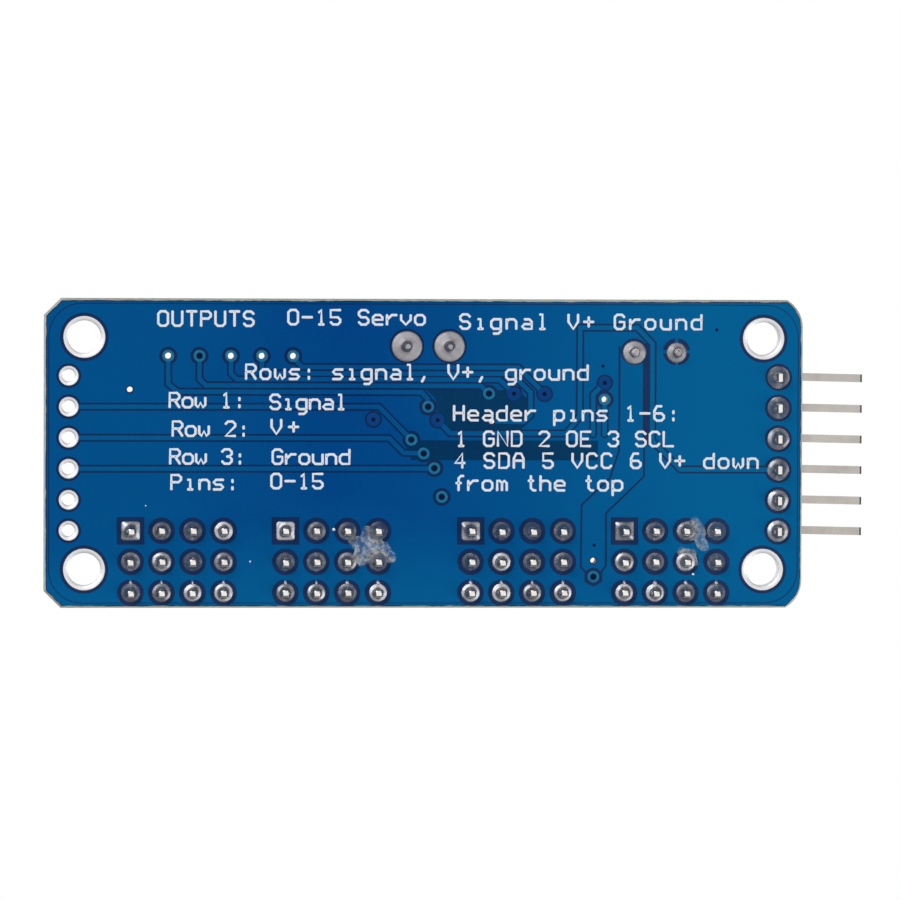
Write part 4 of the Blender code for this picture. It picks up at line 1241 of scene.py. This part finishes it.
def add_ink(shape, lines, width, height, thick=0.02):
    """Printed lines of even width with round ends, lying at this height."""
    curve = bpy.data.curves.new("ink", "CURVE")
    curve.dimensions = "3D"
    curve.bevel_depth = width / 2
    curve.bevel_resolution = 1
    curve.use_fill_caps = True
    for points in lines:
        first, last = Vector(points[0]), Vector(points[-1])
        before = (first - Vector(points[1])).normalized() * width * 0.32
        after = (last - Vector(points[-2])).normalized() * width * 0.32
        closed = (first - last).length < 1e-6
        run = list(points[:-1]) if closed else [first + before, *points, last + after]
        spline = curve.splines.new("POLY")
        spline.points.add(len(run) - 1)
        spline.use_cyclic_u = closed
        for index, point in enumerate(run):
            spline.points[index].co = (point[0], point[1], 0, 1)
            ends = not closed and index in (0, len(run) - 1)
            spline.points[index].radius = 0.55 if ends else 1.0
    holder = bpy.data.objects.new("ink", curve)
    mesh = bpy.data.meshes.new_from_object(holder)
    for vert in mesh.vertices:
        vert.co.z = height + vert.co.z * thick / (width / 2)
    stamp(shape, mesh)
    bpy.data.objects.remove(holder)


SOLDER_SIDE_TEXT = [
    ("OUTPUTS", 22.0, 10.36, 8.0), ("0-15 Servo", 11.35, 10.5, 11.4),
    ("Signal V+ Ground", -2.78, 10.18, 20.1),
    ("Rows: signal, V+, ground", 14.8, 6.02, 28.3),
    ("Row 1:", 21.05, 3.68, 6.3), ("Signal", 12.8, 3.55, 6.4),
    ("Row 2:", 20.8, 1.34, 6.4), ("V+", 12.7, 1.5, 2.4),
    ("Row 3:", 21.0, -0.94, 6.3), ("Ground", 12.6, -0.95, 6.5),
    ("Pins:", 20.9, -3.05, 5.6), ("0-15", 12.7, -2.95, 4.4),
    ("Header pins 1-6:", -2.3, 2.66, 18.7), ("1 GND 2 OE 3 SCL", -2.5, 0.55, 18.1),
    ("4 SDA 5 VCC 6 V+ down", -2.4, -1.25, 25.2), ("from the top", -2.3, -3.1, 14.1),
]


def make_solder_side_legend():
    """The lettering on the solder side, read from below."""
    shape = bmesh.new()
    lines = []
    for text, x, y, length in SOLDER_SIDE_TEXT:
        lines += letter_strokes(text, (x - 0.1, y + 0.1), length - 0.2, 1.18, mirrored=True)
    add_ink(shape, lines, 0.21, -0.002)
    finish_piece("legend_solder_side", shape, [legend_ink], crease=60)


# ---------------------------------------------------------------- flux residue

FLUX_PATCHES = [
    (4.75, -7.6, 1.5, 1.25, 2.0), (3.6, -8.1, 0.8, 1.5, 5.0), (-22.5, -6.6, 0.75, 1.6, 9.0),
    (-21.7, -8.6, 0.9, 0.9, 13.0), (5.4, -8.5, 0.7, 0.6, 17.0),
]  # x, y, wide, tall, seed


def make_flux_residue():
    """Crusts of dried flux between some of the joints, with raised curling edges."""
    shape = bmesh.new()
    disc = turned([(0.0, -0.05), (0.25, -0.06), (0.5, -0.05), (0.72, -0.07), (0.85, -0.12),
                   (0.93, -0.1), (1.0, 0.02), (0.0, 0.02)], 40)
    for x, y, wide, tall, seed in FLUX_PATCHES:
        points = stamp(shape, disc, (x, y, 0), seed, (wide, tall, 1))
        for vert in points:
            arm = Vector((vert.co.x - x, vert.co.y - y))
            angle = math.atan2(arm.y, arm.x)
            rim = Vector((math.cos(angle) * 1.7, math.sin(angle) * 1.7, seed))
            ragged = 1 + 0.5 * noise.noise(rim)
            vert.co.x = x + arm.x * ragged
            vert.co.y = y + arm.y * ragged
            if vert.co.z < 0:
                vert.co.z *= 1 + 0.9 * noise.noise(Vector((vert.co.x * 3, vert.co.y * 3, seed)))
    finish_piece("flux_crust", shape, [dried_flux], crease=80)


# ---------------------------------------------------------------- parts side

ARRAY_PITCH = 0.8
CHIP_PITCH = 0.65
LANE = 0.42


def plan_parts_side_tracks():
    """Tracks from the arrays to the pins, and from the inner arrays to the chip's feet; the
    outer arrays' tracks end in short stubs."""
    feet_y = box_mm("chip_leads_front")[0].y
    tracks = []
    for number, group in enumerate(GROUP_X, 1):
        array_low, array_high = box_mm(f"resistor_array_{number}")
        fan_y = array_low.y - 0.3
        side = 1 if number < 3 else -1
        for place, column in enumerate(COLUMNS):
            x = group + (1.5 - place) * ARRAY_PITCH
            pin_x = group + column
            bend = (pin_x, fan_y - abs(pin_x - x) * 0.35)
            pad = (pin_x, ROW_Y["signal"] + 1.2)
            tracks.append([(x, array_low.y - 0.05), (x, fan_y), bend, pad])
            start = (x, array_high.y + 0.05)
            if number in (1, 4):
                tracks.append([start, (x, array_high.y + 0.5 + place * LANE)])
                continue
            lane = place if side > 0 else 3 - place
            lane_y = array_high.y + 0.25 + LANE * lane
            foot_x = CHIP_X + side * (0.5 + lane) * CHIP_PITCH * 0.86
            tracks.append([start, (x, lane_y), (foot_x, lane_y), (foot_x, feet_y - 0.1)])
    return tracks


TOP_TRACKS = plan_parts_side_tracks()


def make_parts_side_copper():
    """The copper pour and the fine tracks on the component side."""
    pour = bmesh.new()
    add_plate(pour, board_outline(SCORE_INSET + 0.1), THICK - COPPER, THICK)
    cutter = bmesh.new()
    low, high = THICK - 1, THICK + 1
    for x, y, radius, sides in pad_clearances():
        add_disc(cutter, x, y, radius, low, high, sides)
    for x, y in OPEN_VIAS + RING_VIAS + BARE_HOLES:
        add_disc(cutter, x, y, 0.62, low, high, 20)
    for path in TOP_TRACKS:
        add_plate(cutter, track_outline(path, TOP_TRACK_WIDTH + 2 * GROOVE), low, high)
    pour = cut(pour, cutter)
    finish_piece("copper_pour_parts_side", pour, [glossy_lacquer], crease=20)
    tracks = bmesh.new()
    for path in TOP_TRACKS:
        outline = track_outline(path, TOP_TRACK_WIDTH)
        add_plate(tracks, outline, THICK - COPPER - 0.01, THICK)
    settle(tracks)
    finish_piece("tracks_parts_side", tracks, [glossy_track], crease=20)


def add_fillet(shape, x, y, z, along, width, reach, height):
    """A small solder ramp against a part's end; along is the way it runs out from the part."""
    part = bmesh.new()
    profile = [
        (-0.06, 0.0), (-0.06, height), (0.0, height), (reach * 0.35, height * 0.42),
        (reach * 0.75, height * 0.12), (reach, 0.0),
    ]
    face = part.faces.new([part.verts.new((px, -width / 2, pz)) for px, pz in profile])
    grown = bmesh.ops.extrude_face_region(part, geom=[face])["geom"]
    raised = [item for item in grown if isinstance(item, bmesh.types.BMVert)]
    bmesh.ops.translate(part, verts=raised, vec=(0, width, 0))
    settle(part)
    mesh = as_mesh(part)
    stamp(shape, mesh, (x, y, z), math.atan2(along[1], along[0]))
    bpy.data.meshes.remove(mesh)


TINNED_END = 0.285  # how far the tin reaches over a chip part's end


def make_small_parts():
    """Chips, arrays and the LED: refined bodies, tinned ends and solder ramps."""
    ramps = bmesh.new()
    pads = bmesh.new()

    def land(x, y, wide, tall):
        corner = (x - wide / 2, y - tall / 2, THICK - 0.02)
        add_block(pads, corner, (x + wide / 2, y + tall / 2, THICK + 0.02))

    def capped(node, name, body):
        low, high = box_mm(node)
        shape = copied(node)
        long_x = high.x - low.x > high.y - low.y
        axis = 0 if long_x else 1
        for face in shape.faces:
            centre = face.calc_center_median()
            to_end = min(centre[axis] - low[axis], high[axis] - centre[axis])
            face.material_index = 1 if to_end < TINNED_END else 0
        settle(shape)
        soften(shape, 0.03, 40, 2)
        finish_piece(name, shape, [body, tin_plate], nodes=[node], crease=40)
        middle = (low + high) / 2
        for side in (-1, 1):
            if long_x:
                x = middle.x + side * (high.x - low.x) / 2
                add_fillet(ramps, x, middle.y, THICK, (side, 0), high.y - low.y - 0.1, 0.34, 0.34)
                land(x + side * 0.05, middle.y, 0.75, high.y - low.y + 0.15)
            else:
                y = middle.y + side * (high.y - low.y) / 2
                add_fillet(ramps, middle.x, y, THICK, (0, side), high.x - low.x - 0.1, 0.34, 0.34)
                land(middle.x, y + side * 0.05, high.x - low.x + 0.15, 0.75)

    capped("pullup_resistor_1", "pullup_chip_1", resistor_black)
    capped("pullup_resistor_2", "pullup_chip_2", resistor_black)
    capped("led_resistor", "led_resistor_chip", resistor_black)
    capped("bypass_capacitor", "bypass_chip", ceramic_tan)
    capped("power_led", "power_led_body", led_lens)

    for number in range(1, 5):
        node = f"resistor_array_{number}"
        low, high = box_mm(node)
        shape = copied(node)
        for face in shape.faces:
            centre = face.calc_center_median()
            if abs(face.normal.z) > 0.9 and centre.z > high.z - 0.08:
                face.material_index = 1
            elif min(centre.y - low.y, high.y - centre.y) < 0.24:
                face.material_index = 2
        settle(shape)
        soften(shape, 0.02, 40, 1)
        finish_piece(
            f"array_chip_{number}", shape, [alumina, resistor_black, tin_plate],
            nodes=[node], crease=40,
        )
        for place in range(4):
            x = (low.x + high.x) / 2 + (place - 1.5) * ARRAY_PITCH
            for side, y in ((-1, low.y), (1, high.y)):
                add_fillet(ramps, x, y, THICK, (0, side), 0.4, 0.24, 0.26)
                land(x, y + side * 0.06, 0.46, 0.6)

    for side, node in ((-1, "chip_leads_front"), (1, "chip_leads_back")):
        low, high = box_mm(node)
        leads = copied(node)
        settle(leads)
        finish_piece(
            f"{node}_formed", leads, [pin_metal], nodes=[node], crease=30
        )
        foot_y = low.y if side < 0 else high.y
        for place in range(14):
            x = CHIP_X + (place - 6.5) * CHIP_PITCH
            land(x, foot_y - side * 0.15, 0.36, 1.1)
            add_fillet(ramps, x, foot_y, THICK, (0, side), 0.26, 0.2, 0.14)
    low, high = box_mm("protection_transistor")
    shape = copied("protection_transistor")
    for face in shape.faces:
        centre = face.calc_center_median()
        to_end = min(centre.y - low.y, high.y - centre.y)
        face.material_index = 1 if to_end < 0.5 and centre.z < THICK + 0.5 else 0
    settle(shape)
    soften(shape, 0.03, 40, 1)
    finish_piece(
        "transistor_package", shape, [chip_epoxy, pin_metal],
        nodes=["protection_transistor"], crease=35,
    )
    settle(pads)
    finish_piece("small_part_pads", pads, [tin_plate])
    finish_piece("small_part_solder", ramps, [solder], crease=50)

    body = copied("driver_chip")
    settle(body)
    soften(body, 0.05, 25, 2)
    dimple = bmesh.new()
    low, high = box_mm("driver_chip")
    add_disc(dimple, low.x + 0.9, low.y + 0.9, 0.32, high.z - 0.05, high.z + 1, 28)
    body = cut(body, dimple)
    finish_piece("chip_body", body, [chip_epoxy], nodes=["driver_chip"], crease=30)
    marks = bmesh.new()
    lines = letter_strokes("16 CH", (CHIP_X - 2.2, CHIP_Y + 0.25), 0, 0.7)
    lines += letter_strokes("0123", (CHIP_X - 2.2, CHIP_Y - 0.95), 0, 0.7)
    add_ink(marks, lines, 0.09, high.z, 0.006)
    finish_piece("chip_marking", marks, [chip_print], crease=60)


def make_terminal_block():
    """The housing with its clamp screws and wire cages."""
    for number in (1, 2):
        screw = copied(f"terminal_screw_{number}")
        settle(screw)
        soften(screw, 0.05, 35, 2)
        finish_piece(
            f"clamp_screw_{number}", screw, [plated_steel],
            body=f"screw_{number}", nodes=[f"terminal_screw_{number}"],
        )
        cage = copied(f"wire_cage_{number}")
        settle(cage)
        soften(cage, 0.08, 35, 2)
        finish_piece(
            f"clamp_cage_{number}", cage, [plated_steel],
            body=f"cage_{number}", nodes=[f"wire_cage_{number}"],
        )
    housing = copied("terminal_housing")
    settle(housing)
    soften(housing, 0.1, 35, 2)
    finish_piece(
        "terminal_block_housing", housing, [green_plastic],
        nodes=["terminal_housing"],
    )


def make_capacitor():
    """The shrunk sleeve, crimped in near the foot, and the can with its scored top."""
    low, high = box_mm("capacitor_sleeve")
    foot, rim = low.z, high.z
    radius = (high.x - low.x) / 2
    wall = 0.15
    inner = radius - wall
    mouth = radius - 0.9
    profile = [
        (inner - 0.25, foot + 0.06), (inner - 0.05, foot), (radius - 0.12, foot),
        (radius - 0.02, foot + 0.12), (radius, foot + 0.5), (radius, foot + 1.3),
        (radius - 0.28, foot + 1.65), (radius - 0.3, foot + 1.85), (radius - 0.06, foot + 2.2),
        (radius, foot + 2.6), (radius, rim - 0.75), (radius - 0.08, rim - 0.32),
        (radius - 0.3, rim - 0.06), (radius - 0.55, rim), (mouth + 0.04, rim - 0.01),
        (mouth, rim - 0.04), (mouth, rim - wall), (inner - 0.45, rim - wall),
        (inner - 0.1, rim - 0.6), (inner, rim - 1.2), (inner, foot + 2.8),
        (inner - 0.33, foot + 1.9), (inner - 0.33, foot + 1.55), (inner, foot + 1.2),
        (inner, foot + 0.4),
    ]
    shape = bmesh.new()
    stamp(shape, turned(profile, 72, True), (CAN_X, CAN_Y, 0))
    finish_piece(
        "sleeve_wrap", shape, [printed_sleeve],
        nodes=["capacitor_sleeve"], crease=50,
    )
    side = inner - 0.03
    top = box_mm("capacitor_can")[1].z
    profile = [
        (0.0, foot + 0.2), (side - 0.35, foot + 0.2), (side - 0.02, foot + 0.5),
        (side - 0.02, foot + 1.2), (side - 0.4, foot + 1.6), (side - 0.4, foot + 1.9),
        (side - 0.02, foot + 2.9), (side - 0.02, top - 1.2), (side - 0.2, top - 0.45),
        (side - 0.6, top - 0.02), (side - 0.9, top), (0.0, top),
    ]
    can = bmesh.new()
    stamp(can, turned(profile, 72), (CAN_X, CAN_Y, 0))
    score = bmesh.new()
    centre = Vector((CAN_X, CAN_Y))
    for angle in (15, 75, 135):
        along = math.radians(angle)
        arm = Vector((math.cos(along), math.sin(along))) * 2.3
        add_plate(score, track_outline([centre - arm, centre + arm], 0.16), top - 0.12, top + 1)
    can = cut(can, score)
    finish_piece(
        "can_shell", can, [can_aluminium], nodes=["capacitor_can"], crease=30
    )


def make_control_header():
    """The right-angle header at the end: strip, bent pins, joints."""
    strip = copied("control_header_strip")
    settle(strip)
    soften(strip, 0.06, 30, 2)
    finish_piece(
        "right_angle_strip", strip, [black_plastic],
        nodes=["control_header_strip"],
    )
    joints = bmesh.new()
    for place, y in enumerate(END_Y):
        node = f"control_pin_{place + 1}"
        pin = copied(node)
        without_solder(pin, -END_X, y)
        settle(pin)
        for face in pin.faces:
            centre = face.calc_center_median()
            face.material_index = 1 if centre.z < -1.2 and face.normal.z < -0.9 else 0
        finish_piece(
            f"bent_pin_{place + 1}", pin, [pin_metal, cut_metal],
            nodes=[node], crease=25,
        )
        size = draw.uniform(1.12, 1.2)
        points = stamp(
            joints, JOINTS[CONTROL_KINDS[place]], (-END_X, y, 0), draw.uniform(0, 6),
            (size, size, draw.uniform(0.7, 0.85)),
        )
        roughen(points, 0.1, draw.uniform(0, 50))
        stamp(joints, TOP_RING, (-END_X, y, 0))
    finish_piece("control_joints", joints, [solder], crease=60)


def make_parts_side_legend():
    """The lettering on the component side: fine letters and wider frames round the parts."""
    shape = bmesh.new()
    lines = []
    frames = []
    half = 2 * PITCH + 0.1
    frame_y = ROW_Y["signal"] + 1.42
    for number, group in enumerate(GROUP_X, 1):
        for place, column in enumerate(COLUMNS):
            label = str((4 - number) * 4 + 3 - place)
            wide = (len(label) - 1) * 0.75 + 0.6
            lines += letter_strokes(label, (group + column - wide / 2, -4.75), 0, 0.9)
        frames.append([(group - half, frame_y), (group + half, frame_y)])
    for label, x, y in (("GND", -1.5, -11.85), ("V+", -1.0, -9.3), ("PWM", -1.5, -6.8)):
        lines += letter_strokes(label, (x, y), 0, 0.85)
    names = ("GND", "OE", "SCL", "SDA", "VCC", "V+")
    for name, y in zip(names, reversed(END_Y)):
        lines += letter_strokes(name, (-27.3, y - 0.4), 0, 0.85)
        lines += letter_strokes(name, (27.0 - len(name) * 0.72, y - 0.4), 0, 0.85)
    for index in range(6):
        label = f"A{index}"
        lines += letter_strokes(label, (9.9 + index * 2.3, 9.75), 0, 0.8)
    lines += letter_strokes("16 OUTPUTS", (8.2, 3.9), 0, 1.1)
    lines += letter_strokes("+", (-2.5, 4.3), 0, 0.9) + letter_strokes("-", (1.2, 4.3), 0, 0.9)
    for x in (-END_X, END_X):
        left, right = x - 1.2, x + 1.2
        frames.append([(left, -7.7), (right, -7.7), (right, 7.7), (left, 7.7), (left, -7.7)])
    turns = [math.tau * step / 48 for step in range(49)]
    ring = [(CAN_X + 4.25 * math.cos(a), CAN_Y + 4.25 * math.sin(a)) for a in turns]
    frames.append([point for point in ring if point[1] < HALF_WIDTH - 0.4])
    low, high = box_mm("driver_chip")
    frames.append([(low.x - 0.3, low.y + 0.6), (low.x - 0.3, high.y - 0.2)])
    frames.append([(high.x + 0.3, low.y + 0.2), (high.x + 0.3, high.y - 0.2)])
    add_ink(shape, lines, 0.13, THICK + 0.002, 0.012)
    add_ink(shape, frames, 0.15, THICK + 0.002, 0.012)
    finish_piece("legend_parts_side", shape, [legend_ink], crease=60)


def make_address_pads():
    """Six pairs of solder pads that set the board's address."""
    pads = bmesh.new()
    for index in range(6):
        x = 10.6 + index * 2.3
        for y in (11.35 - 0.42, 11.35 + 0.42):
            add_block(pads, (x - 0.5, y - 0.32, THICK - 0.02), (x + 0.5, y + 0.32, THICK + 0.035))
    settle(pads)
    soften(pads, 0.03, 50, 2)
    finish_piece("address_pads", pads, [tin_plate])


# ---------------------------------------------------------------- putting it together

make_core()
make_solder_side_copper()
make_parts_side_copper()
make_eyelets()
make_vias()
make_servo_headers()
make_ground_spokes()
make_big_joints()
make_solder_side_legend()
make_flux_residue()
make_small_parts()
make_terminal_block()
make_capacitor()
make_control_header()
make_parts_side_legend()
make_address_pads()

for node, finish in (
    ("capacitor_bung", bung_rubber),
    ("capacitor_winding", winding_foil),
):
    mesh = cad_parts[node].data
    mesh.materials.clear()
    mesh.materials.append(finish)


# ---------------------------------------------------------------- floor, light and camera

FLOOR_GAP = 0.05  # keeps the floor from lying in one plane with the pins' ends


def make_floor():
    """A pale floor that shows from above only, so that the solder side can be seen and lit."""
    shape = bmesh.new()
    bmesh.ops.create_grid(shape, x_segments=1, y_segments=1, size=3.0)
    bmesh.ops.translate(shape, vec=(0, 0, -FLOOR_GAP * MM), verts=shape.verts)
    mesh = bpy.data.meshes.new("floor")
    shape.to_mesh(mesh)
    shape.free()
    floor = bpy.data.objects.new("floor", mesh)
    bpy.context.scene.collection.objects.link(floor)
    material = bpy.data.materials.new("pale_floor")
    material.use_nodes = True
    tree = material.node_tree
    tree.nodes.clear()
    made = add_node(tree, "ShaderNodeOutputMaterial")
    paper = add_node(tree, "ShaderNodeBsdfDiffuse", {"Color": (0.86, 0.86, 0.86, 1)})
    clear = add_node(tree, "ShaderNodeBsdfTransparent")
    seen = add_node(tree, "ShaderNodeLightPath")
    side = add_node(tree, "ShaderNodeNewGeometry")
    front = add_node(tree, "ShaderNodeMath", {0: 1.0}, operation="SUBTRACT")
    both = add_node(tree, "ShaderNodeMath", operation="MULTIPLY")
    blend = add_node(tree, "ShaderNodeMixShader")
    tree.links.new(side.outputs["Backfacing"], front.inputs[1])
    tree.links.new(seen.outputs["Is Camera Ray"], both.inputs[0])
    tree.links.new(front.outputs[0], both.inputs[1])
    tree.links.new(both.outputs[0], blend.inputs[0])
    tree.links.new(clear.outputs[0], blend.inputs[1])
    tree.links.new(paper.outputs[0], blend.inputs[2])
    tree.links.new(blend.outputs[0], made.inputs["Surface"])
    mesh.materials.append(material)


def make_studio():
    """Even studio light: bright from above and below, dimmer round the sides, white behind."""
    world = bpy.data.worlds.new("studio")
    bpy.context.scene.world = world
    world.use_nodes = True
    tree = world.node_tree
    tree.nodes.clear()
    made = add_node(tree, "ShaderNodeOutputWorld")
    white = add_node(tree, "ShaderNodeBackground", {"Color": (1, 1, 1, 1), "Strength": 1.0})
    room = add_node(tree, "ShaderNodeBackground", {"Strength": 1.0})
    seen = add_node(tree, "ShaderNodeLightPath")
    blend = add_node(tree, "ShaderNodeMixShader")
    place = add_node(tree, "ShaderNodeTexCoord")
    parts = add_node(tree, "ShaderNodeSeparateXYZ")
    size = add_node(tree, "ShaderNodeMath", operation="ABSOLUTE")
    ramp = add_node(tree, "ShaderNodeValToRGB")
    stops = ramp.color_ramp.elements
    stops[0].position = 0.0
    stops[0].color = (0.1, 0.1, 0.11, 1)
    stops[1].position = 1.0
    stops[1].color = (1.05, 1.05, 1.06, 1)
    mid = stops.new(0.55)
    mid.color = (0.2, 0.2, 0.21, 1)
    high = stops.new(0.85)
    high.color = (0.62, 0.62, 0.64, 1)
    tree.links.new(place.outputs["Generated"], parts.inputs[0])
    tree.links.new(parts.outputs["Z"], size.inputs[0])
    tree.links.new(size.outputs[0], ramp.inputs[0])
    tree.links.new(ramp.outputs[0], room.inputs["Color"])
    tree.links.new(seen.outputs["Is Camera Ray"], blend.inputs[0])
    tree.links.new(room.outputs[0], blend.inputs[1])
    tree.links.new(white.outputs[0], blend.inputs[2])
    tree.links.new(blend.outputs[0], made.inputs["Surface"])


def add_lamp(name, place, power, size):
    """A square soft lamp aimed at the board."""
    light = bpy.data.lights.new(name, "AREA")
    light.energy = power
    light.size = size
    lamp = bpy.data.objects.new(name, light)
    bpy.context.scene.collection.objects.link(lamp)
    lamp.location = place
    lamp.rotation_euler = (BOARD_ORIGIN - Vector(place)).to_track_quat("-Z", "Y").to_euler()


def make_camera():
    """Close under the solder side, a little off square, with a long lens."""
    data = bpy.data.cameras.new("camera")
    data.lens = 251.3
    data.sensor_width = 36.0
    data.clip_start = 0.01
    data.clip_end = 20.0
    camera = bpy.data.objects.new("camera", data)
    bpy.context.scene.collection.objects.link(camera)
    camera.location = Vector((36.83, 19.81, -513.08)) * MM
    camera.rotation_euler = [math.radians(a) for a in (177.819, 4.024, 179.767)]
    bpy.context.scene.camera = camera


make_floor()
make_studio()
add_lamp("key_above", (-0.35, -0.3, 0.55), 2.2, 0.4)
add_lamp("fill_above", (0.45, 0.1, 0.45), 1.0, 0.4)
add_lamp("key_below", (0.28, 0.3, -0.5), 1.6, 0.35)
add_lamp("fill_below", (-0.4, -0.15, -0.4), 0.9, 0.35)
make_camera()
bpy.context.scene.view_settings.view_transform = "Standard"
